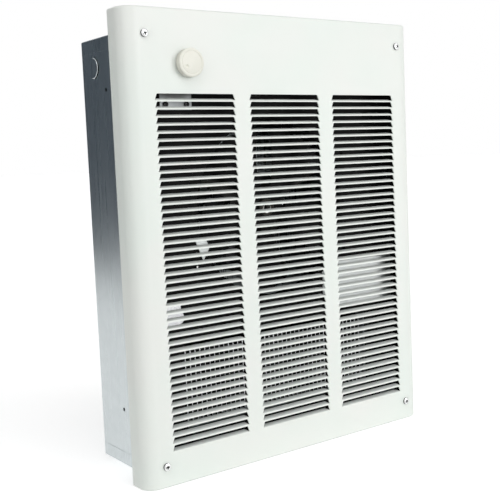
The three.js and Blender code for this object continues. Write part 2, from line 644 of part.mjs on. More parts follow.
// ---------------------------------------------------------------- screws
// A pan head screw, its head on the plane headY.
function panHeadScrew(place, headY, tipY) {
  const [r, h] = [COVER_SCREW_HEAD_RADIUS, COVER_SCREW_HEAD_HEIGHT];
  const seat = headY - SEAT_GAP;
  return turned([
    [0, seat - h], [0.7 * r, seat - 0.85 * h], [r, seat - 0.3 * h], [r, seat],
    [COVER_SCREW_RADIUS, seat], [COVER_SCREW_RADIUS, tipY], [0, tipY],
  ], place.x, place.z, 10);
}

// A small hexagon-headed sheet metal screw, its head on the plane headY.
function hexScrew(place, headY, reach = SMALL_SCREW_REACH) {
  const seat = headY - SEAT_GAP;
  const [head, shank] = [SMALL_SCREW_HEAD_RADIUS, SMALL_SCREW_RADIUS];
  return turned([
    [0, seat - SMALL_SCREW_HEAD_HEIGHT], [head, seat - SMALL_SCREW_HEAD_HEIGHT], [head, seat],
    [shank, seat], [shank, seat + reach], [0, seat + reach],
  ], place.x, place.z, 6);
}

// ---------------------------------------------------------------- fan panel
function fanPanel() {
  const [half, top] = [panelHalfWidth, panelHalfHeight];
  const [cutFront, cutBack] = [panelFront - CUT_PAST, panelBack + CUT_PAST];
  const sheet = block(-half, half, panelFront, panelBack, -top, top);
  const flangeReach = top - PANEL_FLANGE_END;
  const flanges = sides.map(([, way]) => {
    const xs = [way * half, way * (half - PANEL_SHEET)].sort((a, b) => a - b);
    return block(...xs, panelFront, panelFront + PANEL_FLANGE_DEPTH, -flangeReach, flangeReach);
  });
  const notches = [-1, 1].flatMap((way) => [-1, 1].map((up) => {
    const xs = [way * (half - PANEL_NOTCH_WIDTH), way * (half + CUT_PAST)].sort((a, b) => a - b);
    const zs = [up * (top - PANEL_NOTCH_HEIGHT), up * (top + CUT_PAST)].sort((a, b) => a - b);
    return block(...xs, cutFront, cutBack, ...zs);
  }));
  const discharge = block(leftEndPlateX, rightEndPlateX, cutFront, cutBack,
    elementsMiddle - dischargeHalfHeight, elementsMiddle + dischargeHalfHeight);
  const mouthRadius = orificeRadius + ORIFICE_LIP_RADIUS;
  const mouth = barAlongY(mouthRadius, cutFront, cutBack, 0, FAN_CENTRE_HEIGHT, ORIFICE_SIDES);
  const capRadius = DISC_RADIUS + HOLE_PLAY;
  const switchHole = barAlongY(capRadius, cutFront, cutBack, limitSwitchX, limitSwitchHeight, 8);
  const screwed = [...panelScrewPlaces, ...motorFootPlaces, ...thermostatScrewPlaces, ...wiringScrewPlaces,
    groundScrewPlace];
  const screwHoles = screwed.map((place) => screwHole(place, SMALL_SCREW_RADIUS, panelFront, panelBack));
  const tools = [mouth, discharge, switchHole, ...notches, ...screwHoles];
  return join([cut(join([sheet, ...flanges]), tools), orificeCollar()]);
}

// A rounded lip that turns back into a short collar round the fan.
function orificeCollar() {
  const [r, lip, t] = [orificeRadius, ORIFICE_LIP_RADIUS, PANEL_SHEET];
  const collarBack = panelFront + ORIFICE_COLLAR_DEPTH;
  const outerRim = r + lip + ORIFICE_RIM_SEAM;
  const arc = (radius, turns) => turns.map((degrees) => [
    r + lip - radius * Math.cos(radians(degrees)),
    panelFront + lip - radius * Math.sin(radians(degrees)),
  ]);
  const inside = arc(lip, [0, 45, 90]);
  const outside = arc(lip - t, [90, 0]);
  const profile = [[r, collarBack], ...inside, [outerRim, panelFront], [outerRim, panelBack], ...outside,
    [r + t, collarBack], [r, collarBack]];
  return turned(profile, 0, FAN_CENTRE_HEIGHT, ORIFICE_SIDES);
}

// ---------------------------------------------------------------- motor bracket
// A plate with four arms; each arm turns forward outside the collar and ends in a foot on the panel.
function motorBracket() {
  const [half, t] = [MOTOR_BRACKET_ARM_WIDTH / 2, MOTOR_BRACKET_SHEET];
  const [leg, foot] = [bracketLegRadius, bracketLegRadius + MOTOR_BRACKET_FOOT_LENGTH];
  const footFront = panelBack + SEAT_GAP;
  const profile = polygon([
    [0, bracketFront], [leg, bracketFront], [leg, footFront], [foot, footFront], [foot, footFront + t],
    [leg + t, footFront + t], [leg + t, bracketBack], [0, bracketBack],
  ]);
  const arms = motorArmAngles.map(([, degrees]) => {
    const geometry = extrude(profile, 2 * half);
    geometry.translate(0, 0, -half);
    geometry.rotateY(-radians(degrees));
    geometry.translate(0, 0, FAN_CENTRE_HEIGHT);
    return solid(geometry);
  });
  const plate = barAlongY(MOTOR_BRACKET_PLATE_RADIUS, bracketFront, bracketBack, 0, FAN_CENTRE_HEIGHT, 16);
  const bore = barAlongY(BEARING_CUP_RADIUS + MOTOR_BRACKET_BORE_CLEARANCE,
    bracketFront - CUT_PAST, bracketBack + CUT_PAST, 0, FAN_CENTRE_HEIGHT, BEARING_SIDES);
  const feet = motorFootPlaces.map((place) => screwHole(place, SMALL_SCREW_RADIUS, footFront, footFront + t));
  const bolts = motorBoltPlaces.map((place) => (
    screwHole(place, MOTOR_BOLT_RADIUS, bracketFront, bracketBack)));
  return cut(join([plate, ...arms]), [bore, ...feet, ...bolts]);
}

// ---------------------------------------------------------------- motor
// A skeleton motor: laminated frame round the rotor, with the coil on the bar at its foot.
function motorStack() {
  const [top, bottom] = [FAN_CENTRE_HEIGHT + STACK_ABOVE_AXIS, FAN_CENTRE_HEIGHT - STACK_BELOW_AXIS];
  const chamfer = STACK_CHAMFER;
  const half = STACK_HALF_WIDTH;
  const outline = polygon([
    [-half, bottom], [half, bottom], [half, top - chamfer], [half - chamfer, top],
    [chamfer - half, top], [-half, top - chamfer],
  ]);
  const windowHalf = half - STACK_LEG_WIDTH;
  const windowTop = FAN_CENTRE_HEIGHT - STACK_YOKE_BELOW_AXIS;
  outline.holes.push(rectangle(-windowHalf, windowHalf, bottom + STACK_CORE_HEIGHT, windowTop));
  outline.holes.push(hole(0, FAN_CENTRE_HEIGHT, ROTOR_RADIUS + ROTOR_AIR_GAP));
  const stack = wallSheet(outline, stackFront, stackBack, 8);
  const bolts = motorBoltPlaces.map((place) => screwHole(place, MOTOR_BOLT_RADIUS, stackFront, stackBack));
  return cut(stack, bolts);
}

function motorCoil() {
  const bottom = FAN_CENTRE_HEIGHT - STACK_BELOW_AXIS;
  const top = bottom + STACK_CORE_HEIGHT;
  const reach = STACK_HALF_WIDTH - STACK_LEG_WIDTH - COIL_END_CLEARANCE;
  const ring = (grow) => [stackFront - grow, stackBack + grow, bottom - grow, top + grow];
  const winding = roundedBlock(-reach, reach, ring(COIL_PLAY + COIL_WALL), COIL_CORNER_RADIUS);
  const core = block(-reach - CUT_PAST, reach + CUT_PAST, ...ring(COIL_PLAY));
  return cut(winding, [core]);
}

// A block with its long edges along X rounded off.
function roundedBlock(x0, x1, [y0, y1, z0, z1], r) {
  const shape = new THREE.Shape();
  shape.absarc(y1 - r, z1 - r, r, 0, Math.PI / 2, false);
  shape.absarc(y0 + r, z1 - r, r, Math.PI / 2, Math.PI, false);
  shape.absarc(y0 + r, z0 + r, r, Math.PI, 1.5 * Math.PI, false);
  shape.absarc(y1 - r, z0 + r, r, 1.5 * Math.PI, 2 * Math.PI, false);
  return sideways(shape, x0, x1, 3);
}

// A round bar on the fan's axis or a bolt's, between two planes given in either order.
const barBetween = (radius, a, b, x, sides) => (
  barAlongY(radius, Math.min(a, b), Math.max(a, b), x, FAN_CENTRE_HEIGHT, sides)
);

// A cast bar across the motor: a cup for the bearing, and two posts that stand on the stack.
// way is -1 for the front bar and 1 for the rear one.
function bearingBar(way) {
  const foot = (way < 0 ? stackFront : stackBack) + way * SEAT_GAP;
  const barInner = foot + way * BEARING_POST_LENGTH;
  const barOuter = barInner + way * BEARING_BAR_THICKNESS;
  const halfBar = BEARING_BAR_HEIGHT / 2;
  const reach = MOTOR_BOLT_SPACING / 2 + halfBar;
  const ys = [barInner, barOuter].sort((a, b) => a - b);
  const bar = block(-reach, reach, ...ys, FAN_CENTRE_HEIGHT - halfBar, FAN_CENTRE_HEIGHT + halfBar);
  const posts = motorBoltPlaces.map(({ x }) => barBetween(BEARING_POST_RADIUS, foot, barOuter, x, 6));
  const cupMouth = barOuter - way * BEARING_CUP_LENGTH;
  const cutFrom = cupMouth - way * CUT_PAST;
  const cutTo = barOuter + way * CUT_PAST;
  const cup = barBetween(BEARING_CUP_RADIUS, cupMouth, barOuter, 0, BEARING_SIDES);
  const pocket = barBetween(BEARING_RADIUS + SEAT_GAP, cutFrom, barInner, 0, BEARING_SIDES);
  const shaftHole = barBetween(SHAFT_RADIUS + SHAFT_HOLE_CLEARANCE, cutFrom, cutTo, 0, 10);
  const boltRadius = MOTOR_BOLT_RADIUS + HOLE_PLAY;
  const bolts = motorBoltPlaces.map(({ x }) => barBetween(boltRadius, foot - way * CUT_PAST, cutTo, x, 6));
  return cut(join([bar, ...posts, cup]), [pocket, shaftHole, ...bolts]);
}

// A plain bearing in its cup.
function bearing(way) {
  const end = (way < 0 ? stackFront : stackBack) + way * BEARING_POST_LENGTH;
  const start = end - way * BEARING_LENGTH;
  const [y0, y1] = [start, end].sort((a, b) => a - b);
  const bore = SHAFT_RADIUS + RUNNING_GAP;
  return turned([
    [bore, y0], [BEARING_RADIUS, y0], [BEARING_RADIUS, y1], [bore, y1], [bore, y0],
  ], 0, FAN_CENTRE_HEIGHT, BEARING_SIDES);
}

// A bolt from the bracket through the motor to the rear bar.
function motorBolt(place) {
  const seat = bracketFront - SEAT_GAP;
  const [front, tip] = [seat - BOLT_HEAD_HEIGHT, stackBack + barReach];
  return turned([
    [0, front], [BOLT_HEAD_RADIUS, front], [BOLT_HEAD_RADIUS, seat], [MOTOR_BOLT_RADIUS, seat],
    [MOTOR_BOLT_RADIUS, tip], [0, tip],
  ], place.x, place.z, 6);
}

function motorRotor() {
  const bore = SHAFT_RADIUS + SEAT_GAP;
  const [y0, y1] = [stackFront - ROTOR_PAST_STACK, stackBack + ROTOR_PAST_STACK];
  return turned([
    [bore, y0], [ROTOR_RADIUS, y0], [ROTOR_RADIUS, y1], [bore, y1], [bore, y0],
  ], 0, FAN_CENTRE_HEIGHT, 16);
}

function motorShaft() {
  const [y0, y1] = [fanPlate - SHAFT_BEFORE_FAN, stackBack + barReach + SHAFT_PAST_REAR_BAR];
  const [r, chamfer] = [SHAFT_RADIUS, SHAFT_CHAMFER];
  return turned([[0, y0], [r - chamfer, y0], [r, y0 + chamfer], [r, y1], [0, y1]], 0, FAN_CENTRE_HEIGHT, 12);
}

// ---------------------------------------------------------------- fan
// One blade: a twisted sheet that widens to its tip and leans forward along its length.
function fanBlade(middleDegrees) {
  const [spans, chords] = [3, 4];
  const root = FAN_SPIDER_RADIUS - BLADE_IN_SPIDER;
  const tipPitch = Math.atan2(FAN_DEPTH / 2 - FAN_SHEET, FAN_RADIUS * radians(BLADE_TIP_HALF_ANGLE));
  const corner = (span, chord, side) => {
    const share = span / spans;
    const r = root + (FAN_RADIUS - root) * share;
    const half = radians(THREE.MathUtils.lerp(BLADE_ROOT_HALF_ANGLE, BLADE_TIP_HALF_ANGLE, share));
    const across = (2 * chord) / chords - 1;
    const trim = Math.max(0, share - BLADE_CORNERS_START) * BLADE_CORNER_TRIM * across * across;
    const reach = r * (1 - trim);
    const angle = radians(middleDegrees) + half * across;
    const pitch = Math.tan(tipPitch) * THREE.MathUtils.lerp(BLADE_ROOT_LIFT, 1, share);
    const lift = pitch * reach * half * across;
    const camber = BLADE_CAMBER * share * (1 - across * across);
    return [
      reach * Math.cos(angle),
      fanPlate + lift - camber + (side * FAN_SHEET) / 2,
      FAN_CENTRE_HEIGHT + reach * Math.sin(angle),
    ];
  };
  return sheetBetween(spans, chords, corner);
}

// A closed sheet over a grid: corner(i, j, side) gives the point on the front (-1) or the back (1).
function sheetBetween(rows, columns, corner) {
  const positions = [];
  const quad = (a, b, c, d) => positions.push(...a, ...b, ...c, ...a, ...c, ...d);
  for (let i = 0; i < rows; i += 1) {
    for (let j = 0; j < columns; j += 1) {
      const cell = [[i, j], [i + 1, j], [i + 1, j + 1], [i, j + 1]];
      const ring = (side) => cell.map(([p, q]) => corner(p, q, side));
      quad(...ring(1));
      quad(...ring(-1).reverse());
    }
  }
  const rim = [];
  for (let i = 0; i < rows; i += 1) rim.push([i, 0]);
  for (let j = 0; j < columns; j += 1) rim.push([rows, j]);
  for (let i = rows; i > 0; i -= 1) rim.push([i, columns]);
  for (let j = columns; j > 0; j -= 1) rim.push([0, j]);
  rim.forEach(([i, j], k) => {
    const [p, q] = rim[(k + 1) % rim.length];
    quad(corner(i, j, -1), corner(p, q, -1), corner(p, q, 1), corner(i, j, 1));
  });
  const geometry = new THREE.BufferGeometry();
  geometry.setAttribute('position', new THREE.Float32BufferAttribute(positions, 3));
  return solid(geometry);
}

function fanWheel() {
  const bladeAngles = Array.from({ length: FAN_BLADES }, (_, i) => FIRST_BLADE_ANGLE + (360 * i) / FAN_BLADES);
  const [front, back] = [fanPlate - FAN_SHEET / 2, fanPlate + FAN_SHEET / 2];
  const spider = barAlongY(FAN_SPIDER_RADIUS, front, back, 0, FAN_CENTRE_HEIGHT, 15);
  const bore = barAlongY(HUB_RADIUS + SEAT_GAP, fanPlate - FAN_DEPTH / 2, fanPlate + FAN_DEPTH / 2,
    0, FAN_CENTRE_HEIGHT, 12);
  return cut(join([spider, ...bladeAngles.map(fanBlade)]), [bore]);
}

// The turned hub: its flange is riveted behind the spider.
function fanHub() {
  const flangeFront = fanPlate + FAN_SHEET / 2 + SEAT_GAP;
  const flangeBack = flangeFront + HUB_FLANGE_THICKNESS;
  const [bore, neck] = [SHAFT_RADIUS + SEAT_GAP, HUB_RADIUS - HUB_STEP];
  const front = fanPlate - HUB_BEFORE_FAN;
  const back = front + HUB_LENGTH;
  return turned([
    [bore, front], [HUB_RADIUS, front], [HUB_RADIUS, flangeFront], [HUB_FLANGE_RADIUS, flangeFront],
    [HUB_FLANGE_RADIUS, flangeBack], [neck, flangeBack], [neck, back], [bore, back], [bore, front],
  ], 0, FAN_CENTRE_HEIGHT, 12);
}

// ---------------------------------------------------------------- heating elements
// A hairpin: two straight runs joined by a bend past the left end plate, with fins brazed across both.
function heatingElement(z) {
  const rightEnd = rightEndPlateX + ROD_PAST_END_PLATE;
  const bendX = leftEndPlateX - ROD_PAST_END_PLATE / 2;
  const [front, back] = [elementY - FIN_DEPTH / 2, elementY + FIN_DEPTH / 2];
  const [bottom, top] = [z - FIN_HEIGHT / 2, z + FIN_HEIGHT / 2];
  const fins = Array.from({ length: finCount }, (_, i) => {
    const x = firstFinX + i * FIN_PITCH;
    return block(x, x + FIN_THICKNESS, front, back, bottom, top);
  });
  return join([hairpinRod(z, bendX, rightEnd), ...fins]);
}

// The bare rod, as rings of points that follow the hairpin.
function hairpinRod(z, bendX, rightEnd) {
  const [half, r, around, bendSteps] = [ELEMENT_ROD_SPACING / 2, ELEMENT_ROD_RADIUS, 5, 4];
  const stations = [{ x: rightEnd, z: z + half, turn: Math.PI / 2 }];
  for (let k = 0; k <= bendSteps; k += 1) {
    const turn = Math.PI / 2 + (Math.PI * k) / bendSteps;
    stations.push({ x: bendX + half * Math.cos(turn), z: z + half * Math.sin(turn), turn });
  }
  stations.push({ x: rightEnd, z: z - half, turn: 1.5 * Math.PI });
  const ringPoint = ({ x, z: height, turn }, k) => {
    const angle = (2 * Math.PI * (k + 0.5)) / around;
    const out = r * Math.cos(angle);
    return [x + out * Math.cos(turn), elementY + r * Math.sin(angle), height + out * Math.sin(turn)];
  };
  const positions = [];
  const triangle = (a, b, c) => positions.push(...a, ...b, ...c);
  for (let s = 0; s + 1 < stations.length; s += 1) {
    for (let k = 0; k < around; k += 1) {
      const [a, b] = [ringPoint(stations[s], k), ringPoint(stations[s], k + 1)];
      const [c, d] = [ringPoint(stations[s + 1], k + 1), ringPoint(stations[s + 1], k)];
      triangle(a, b, c);
      triangle(a, c, d);
    }
  }
  const last = stations.length - 1;
  for (let k = 1; k + 1 < around; k += 1) {
    triangle(ringPoint(stations[0], 0), ringPoint(stations[0], k + 1), ringPoint(stations[0], k));
    triangle(ringPoint(stations[last], 0), ringPoint(stations[last], k), ringPoint(stations[last], k + 1));
  }
  const geometry = new THREE.BufferGeometry();
  geometry.setAttribute('position', new THREE.Float32BufferAttribute(positions, 3));
  return solid(geometry);
}

// An end plate: a sheet across the rods with a foot turned out onto the panel's back.
// The right one rises into a tab that the fan delay switch looks through.
function endPlate(x, way) {
  const [z0, z1] = [elementsMiddle - endPlateHalfHeight, endPlateTop];
  const front = panelBack + SEAT_GAP;
  const sheet = [x, x + way * END_PLATE_SHEET].sort((a, b) => a - b);
  const foot = [x, x + way * END_PLATE_FOOT].sort((a, b) => a - b);
  const [cutLeft, cutRight] = [sheet[0] - CUT_PAST, sheet[1] + CUT_PAST];
  const plate = block(...sheet, front, endPlateBack, z0, z1);
  const turnedFoot = block(...foot, front, front + END_PLATE_SHEET, z0, z1);
  const rodHoles = rodHeights.map((z) => (
    barAlongX(ELEMENT_ROD_RADIUS + HOLE_PLAY, cutLeft, cutRight, elementY, z, 8)));
  if (way < 0) return cut(join([plate, turnedFoot]), rodHoles);
  const tab = block(...sheet, front, endPlateBack, z1 - END_PLATE_SHEET, z1 + DELAY_SWITCH_TAB_HEIGHT);
  const window = barAlongX(DISC_RADIUS + HOLE_PLAY, cutLeft, cutRight, delaySwitchY, delaySwitchZ, 10);
  return cut(join([plate, turnedFoot, tab]), [...rodHoles, window]);
}

// The cold end of a rod: a ceramic bush and the terminal pin that stands out of it.
function elementTerminal(z) {
  const start = rightEndPlateX + ROD_PAST_END_PLATE + SEAT_GAP;
  const bushEnd = start + TERMINAL_LENGTH;
  const bush = barAlongX(TERMINAL_RADIUS, start, bushEnd, elementY, z, 8);
  const pin = barAlongX(TERMINAL_PIN_RADIUS, bushEnd - TERMINAL_LENGTH / 2, bushEnd + TERMINAL_PIN_LENGTH,
    elementY, z, 6);
  return join([bush, pin]);
}

// ---------------------------------------------------------------- thermostat
// A bent strip: a foot on the panel, a shelf that stands forward, and a plate for the bushing.
function thermostatBracket() {
  const t = THERMOSTAT_BRACKET_SHEET;
  const [shelf, foot] = [thermostatShelf, panelFront - SEAT_GAP];
  const top = knobHeight + THERMOSTAT_BRACKET_ABOVE_KNOB;
  const profile = polygon([
    [foot - t, shelf - THERMOSTAT_BRACKET_FOOT], [foot, shelf - THERMOSTAT_BRACKET_FOOT], [foot, shelf + t],
    [thermostatPlateBack, shelf + t], [thermostatPlateBack, top], [thermostatPlateFront, top],
    [thermostatPlateFront, shelf], [foot - t, shelf],
  ]);
  const half = THERMOSTAT_BRACKET_WIDTH / 2;
  const strip = sideways(profile, knobX - half, knobX + half);
  const bushing = barAlongY(BUSHING_RADIUS + HOLE_PLAY, thermostatPlateFront - CUT_PAST,
    thermostatPlateBack + CUT_PAST, knobX, knobHeight, 12);
  const screws = thermostatScrewPlaces.map((place) => screwHole(place, SMALL_SCREW_RADIUS, foot - t, foot));
  return cut(strip, [bushing, ...screws]);
}

// The thermostat's case with its threaded bushing, bored for the stem.
function thermostatBody() {
  const [halfWidth, halfHeight] = [THERMOSTAT_WIDTH / 2, THERMOSTAT_HEIGHT / 2];
  const back = thermostatFront + THERMOSTAT_DEPTH;
  const boreEnd = thermostatFront + STEM_IN_BODY + STEM_BORE_PAST_STEM;
  const body = block(knobX - halfWidth, knobX + halfWidth, thermostatFront, back,
    knobHeight - halfHeight, knobHeight + halfHeight);
  const bushing = barAlongY(BUSHING_RADIUS, bushingFront, thermostatFront + CUT_PAST, knobX, knobHeight, 12);
  const bore = barAlongY(STEM_RADIUS + RUNNING_GAP, bushingFront - CUT_PAST, boreEnd, knobX, knobHeight, 12);
  return cut(join([body, bushing]), [bore]);
}

function bushingNut() {
  const back = thermostatPlateFront - SEAT_GAP;
  const [inner, front] = [BUSHING_RADIUS + SEAT_GAP, back - BUSHING_NUT_HEIGHT];
  const nut = barAlongY(BUSHING_NUT_RADIUS, front, back, knobX, knobHeight, 6);
  return cut(nut, [barAlongY(inner, front - CUT_PAST, back + CUT_PAST, knobX, knobHeight, 12)]);
}

// A round knob, hollow behind, with a boss for the stem and a small sunk mark near its rim.
function thermostatKnob() {
  const rim = knobFront + KNOB_DOME;
  const floor = rim + KNOB_WALL;
  const softening = KNOB_BEVEL / 3;
  const outer = [
    [0, knobFront], [KNOB_RADIUS * KNOB_CROWN_SHARE, knobFront + KNOB_DOME / 4],
    [KNOB_RADIUS - KNOB_BEVEL, rim], [KNOB_RADIUS - softening, rim + softening],
    [KNOB_RADIUS, rim + KNOB_BEVEL], [KNOB_RADIUS, knobBack],
  ];
  const inner = [
    [KNOB_RADIUS - KNOB_WALL, knobBack], [KNOB_RADIUS - KNOB_WALL, floor], [KNOB_BOSS_RADIUS, floor],
    [KNOB_BOSS_RADIUS, knobBack], [0, knobBack],
  ];
  const knob = turned([...outer, ...inner], knobX, knobHeight, 18);
  const stemHole = barAlongY(STEM_RADIUS + SEAT_GAP, knobBack - STEM_IN_KNOB, knobBack + CUT_PAST,
    knobX, knobHeight, 12);
  const markX = knobX + KNOB_MARK_OFFSET * Math.cos(radians(KNOB_MARK_ANGLE));
  const markZ = knobHeight + KNOB_MARK_OFFSET * Math.sin(radians(KNOB_MARK_ANGLE));
  const mark = barAlongY(KNOB_MARK_RADIUS, knobFront - CUT_PAST, rim + KNOB_MARK_DEPTH, markX, markZ, 6);
  return cut(knob, [stemHole, mark]);
}

function thermostatStem() {
  const [y0, y1] = [knobBack - STEM_IN_KNOB + STEM_END_PLAY, thermostatFront + STEM_IN_BODY];
  return barAlongY(STEM_RADIUS, y0, y1, knobX, knobHeight, 12);
}

// The sensing bulb, with the fine tube that joins it to the thermostat.
function sensingBulb() {
  const bulb = barAlongX(BULB_RADIUS, bulbLeft, bulbLeft + BULB_LENGTH, bulbY, bulbHeight, 8);
  const start = knobX + THERMOSTAT_WIDTH / 2 + SEAT_GAP;
  const end = start + CAPILLARY_REACH;
  const leave = knobHeight - THERMOSTAT_HEIGHT / 4;
  const caseY = thermostatFront + THERMOSTAT_DEPTH / 2;
  const route = new THREE.CatmullRomCurve3([
    new THREE.Vector3(start, caseY, leave),
    new THREE.Vector3(start + CAPILLARY_LEAD, caseY, leave),
    new THREE.Vector3(end - CAPILLARY_REACH / 3, caseY, leave + CAPILLARY_BOW),
    new THREE.Vector3(end, (caseY + bulbY) / 2, leave),
    new THREE.Vector3(end - CAPILLARY_TURN_BACK, bulbY, bulbHeight),
    new THREE.Vector3(bulbLeft + CAPILLARY_IN_BULB, bulbY, bulbHeight),
  ]);
  return join([bulb, rodAlong(route, CAPILLARY_RADIUS, 16, 5)]);
}

// A spring clip screwed to the panel that holds the bulb.
function bulbClip() {
  const inner = BULB_RADIUS + SEAT_GAP;
  const outer = inner + BULB_CLIP_SHEET;
  const x0 = bulbLeft + BULB_LENGTH / 2 - BULB_CLIP_WIDTH / 2;
  const x1 = x0 + BULB_CLIP_WIDTH;
  const mouth = radians(BULB_CLIP_MOUTH_HALF_ANGLE);
  const ring = new THREE.Shape();
  ring.absarc(bulbY, bulbHeight, outer, mouth, 2 * Math.PI - mouth, false);
  ring.absarc(bulbY, bulbHeight, inner, 2 * Math.PI - mouth, mouth, true);
  const lowerEnd = bulbHeight - outer * Math.sin(mouth);
  const jawY = bulbY + inner * Math.cos(mouth);
  const [seat, footFront] = [panelFront - SEAT_GAP, panelFront - SEAT_GAP - BULB_CLIP_SHEET];
  const stem = polygon([
    [jawY, lowerEnd], [jawY, lowerEnd + BULB_CLIP_SHEET], [seat, lowerEnd + BULB_CLIP_SHEET],
    [seat, lowerEnd - BULB_CLIP_FOOT], [footFront, lowerEnd - BULB_CLIP_FOOT], [footFront, lowerEnd],
  ]);
  return join([sideways(ring, x0, x1, 4), sideways(stem, x0, x1)]);
}

// ---------------------------------------------------------------- safety switches
// A snap-disc switch: an eared flange on its seat, a cap in front and a moulded body behind.
// It is built facing -Y with the flange's back on the plane y = 0.
function discSwitch() {
  const ear = DISC_FLANGE_WIDTH / 2;
  const reach = DISC_FLANGE_LENGTH / 2 - ear;
  const outline = new THREE.Shape();
  outline.absarc(0, reach, ear, 0, Math.PI, false);
  outline.absarc(0, -reach, ear, Math.PI, 2 * Math.PI, false);
  const flange = wallSheet(outline, -DISC_FLANGE_THICKNESS, 0, 4);
  const cap = barAlongY(DISC_RADIUS, -DISC_FLANGE_THICKNESS - DISC_CAP_HEIGHT, 0, 0, 0, 10);
  const body = barAlongY(DISC_RADIUS - DISC_CAP_STEP, -DISC_FLANGE_THICKNESS / 2, DISC_BODY_DEPTH, 0, 0, 8);
  const [half, halfWidth] = [DISC_TAB_THICKNESS / 2, DISC_TAB_WIDTH / 2];
  const [tabRoot, tabEnd] = [DISC_BODY_DEPTH - half, DISC_BODY_DEPTH + DISC_TAB_LENGTH];
  const tabs = [-DISC_TAB_OFFSET, DISC_TAB_OFFSET].map((x) => (
    block(x - half, x + half, tabRoot, tabEnd, -halfWidth, halfWidth)));
  return join([flange, cap, body, ...tabs]);
}

// ---------------------------------------------------------------- wiring compartment
// A shallow lid over the terminals: a plate with its long edges turned back to the panel.
function wiringCover() {
  const [t, front] = [WIRING_COVER_SHEET, panelFront - WIRING_COVER_STAND];
  const back = panelFront - SEAT_GAP;
  const [bottom, top] = [WIRING_COVER_BOTTOM, WIRING_COVER_TOP];
  const profile = polygon([
    [back, bottom], [front, bottom], [front, top], [back, top], [back, top - t], [front + t, top - t],
    [front + t, bottom + t], [back, bottom + t],
  ]);
  const [inLeft, inRight] = [wiringCoverLeft + WIRING_COVER_EAR, wiringCoverRight - WIRING_COVER_EAR];
  const [earBottom, earTop] = [bottom + WIRING_COVER_EAR_INSET, top - WIRING_COVER_EAR_INSET];
  const ears = [[wiringCoverLeft, inLeft + t], [inRight - t, wiringCoverRight]].map(([x0, x1]) => (
    block(x0, x1, back - t, back, earBottom, earTop)));
  const walls = [inLeft, inRight - t].map((x) => block(x, x + t, front + t / 2, back, earBottom, earTop));
  const screws = wiringScrewPlaces.map((place) => screwHole(place, SMALL_SCREW_RADIUS, back - t, back));
  return cut(join([sideways(profile, inLeft, inRight), ...ears, ...walls]), screws);
}

// A moulded terminal block with a barrier between its ways.
function terminalBlock() {
  const [length, halfHeight] = [TERMINAL_BLOCK_LENGTH, TERMINAL_BLOCK_HEIGHT / 2];
  const back = panelFront - SEAT_GAP;
  const front = back - TERMINAL_BLOCK_DEPTH;
  const [x0, z] = [terminalBlockX - length / 2, wiringCoverMiddle];
  const body = block(x0, x0 + length, front, back, z - halfHeight, z + halfHeight);
  const pitch = length / TERMINAL_BLOCK_WAYS;
  const wayFloor = front + TERMINAL_WAY_DEPTH;
  const starts = Array.from({ length: TERMINAL_BLOCK_WAYS }, (_, i) => x0 + i * pitch);
  const ways = starts.map((x) => (
    block(x + TERMINAL_BARRIER_HALF, x + pitch - TERMINAL_BARRIER_HALF, front - CUT_PAST, wayFloor,
      z - halfHeight - CUT_PAST, z + halfHeight + CUT_PAST)));
  const screws = starts.map((x) => (
    barAlongY(TERMINAL_SCREW_RADIUS, front + TERMINAL_SCREW_SUNK, wayFloor + CUT_PAST, x + pitch / 2, z, 8)));
  return join([cut(body, ways), ...screws]);
}

// ---------------------------------------------------------------- assembly
addPart('back_box', wallBox(), 'galvanised');
addPart('front_cover', frontCover(), 'white_paint');
coverScrewPlaces.forEach((place) => {
  const tip = boxFront + BOX_SHEET + COVER_SCREW_PAST_FLANGE;
  addPart(place.name, panHeadScrew(place, coverFace, tip), 'screw_steel');
});
addPart('fan_panel', fanPanel(), 'black_paint');
panelScrewPlaces.forEach((place) => addPart(place.name, hexScrew(place, panelFront), 'screw_steel'));
addPart('motor_bracket', motorBracket(), 'galvanised');
motorFootPlaces.forEach((place) => addPart(place.name, hexScrew(place, panelFront), 'screw_steel'));
addPart('motor_stack', motorStack(), 'lamination');
addPart('motor_coil', motorCoil(), 'coil_tape');
[['front', -1], ['rear', 1]].forEach(([name, way]) => {
  addPart(`${name}_bearing_bar`, bearingBar(way), 'cast_zinc');
  addPart(`${name}_bearing`, bearing(way), 'bronze');
});
motorBoltPlaces.forEach((place) => addPart(place.name, motorBolt(place), 'screw_steel'));
addPart('motor_rotor', motorRotor(), 'lamination');
addPart('motor_shaft', motorShaft(), 'shaft_steel');
addPart('fan_wheel', fanWheel(), 'aluminium');
addPart('fan_hub', fanHub(), 'brass');
elementPlaces.forEach(([name, z]) => addPart(`${name}_heating_element`, heatingElement(z), 'fin_steel'));
addPart('left_element_plate', endPlate(leftEndPlateX, -1), 'galvanised');
addPart('right_element_plate', endPlate(rightEndPlateX, 1), 'galvanised');
rodHeights.forEach((z, i) => addPart(`element_terminal_${i + 1}`, elementTerminal(z), 'ceramic'));
addPart('thermostat_bracket', thermostatBracket(), 'galvanised');
thermostatScrewPlaces.forEach((place) => {
  const seat = panelFront - SEAT_GAP - THERMOSTAT_BRACKET_SHEET;
  addPart(place.name, hexScrew(place, seat), 'screw_steel');
});
addPart('thermostat_body', thermostatBody(), 'black_plastic');
addPart('thermostat_nut', bushingNut(), 'screw_steel');
addPart('thermostat_stem', thermostatStem(), 'brass');
addPart('thermostat_knob', thermostatKnob(), 'cream_plastic');
addPart('sensing_bulb', sensingBulb(), 'copper');
addPart('bulb_clip', bulbClip(), 'galvanised');

const limitSwitch = new THREE.Group();
limitSwitch.position.set(limitSwitchX, panelFront - SEAT_GAP, limitSwitchHeight);
addPart('limit_switch', discSwitch(), 'aluminium', limitSwitch);
heater.add(limitSwitch);

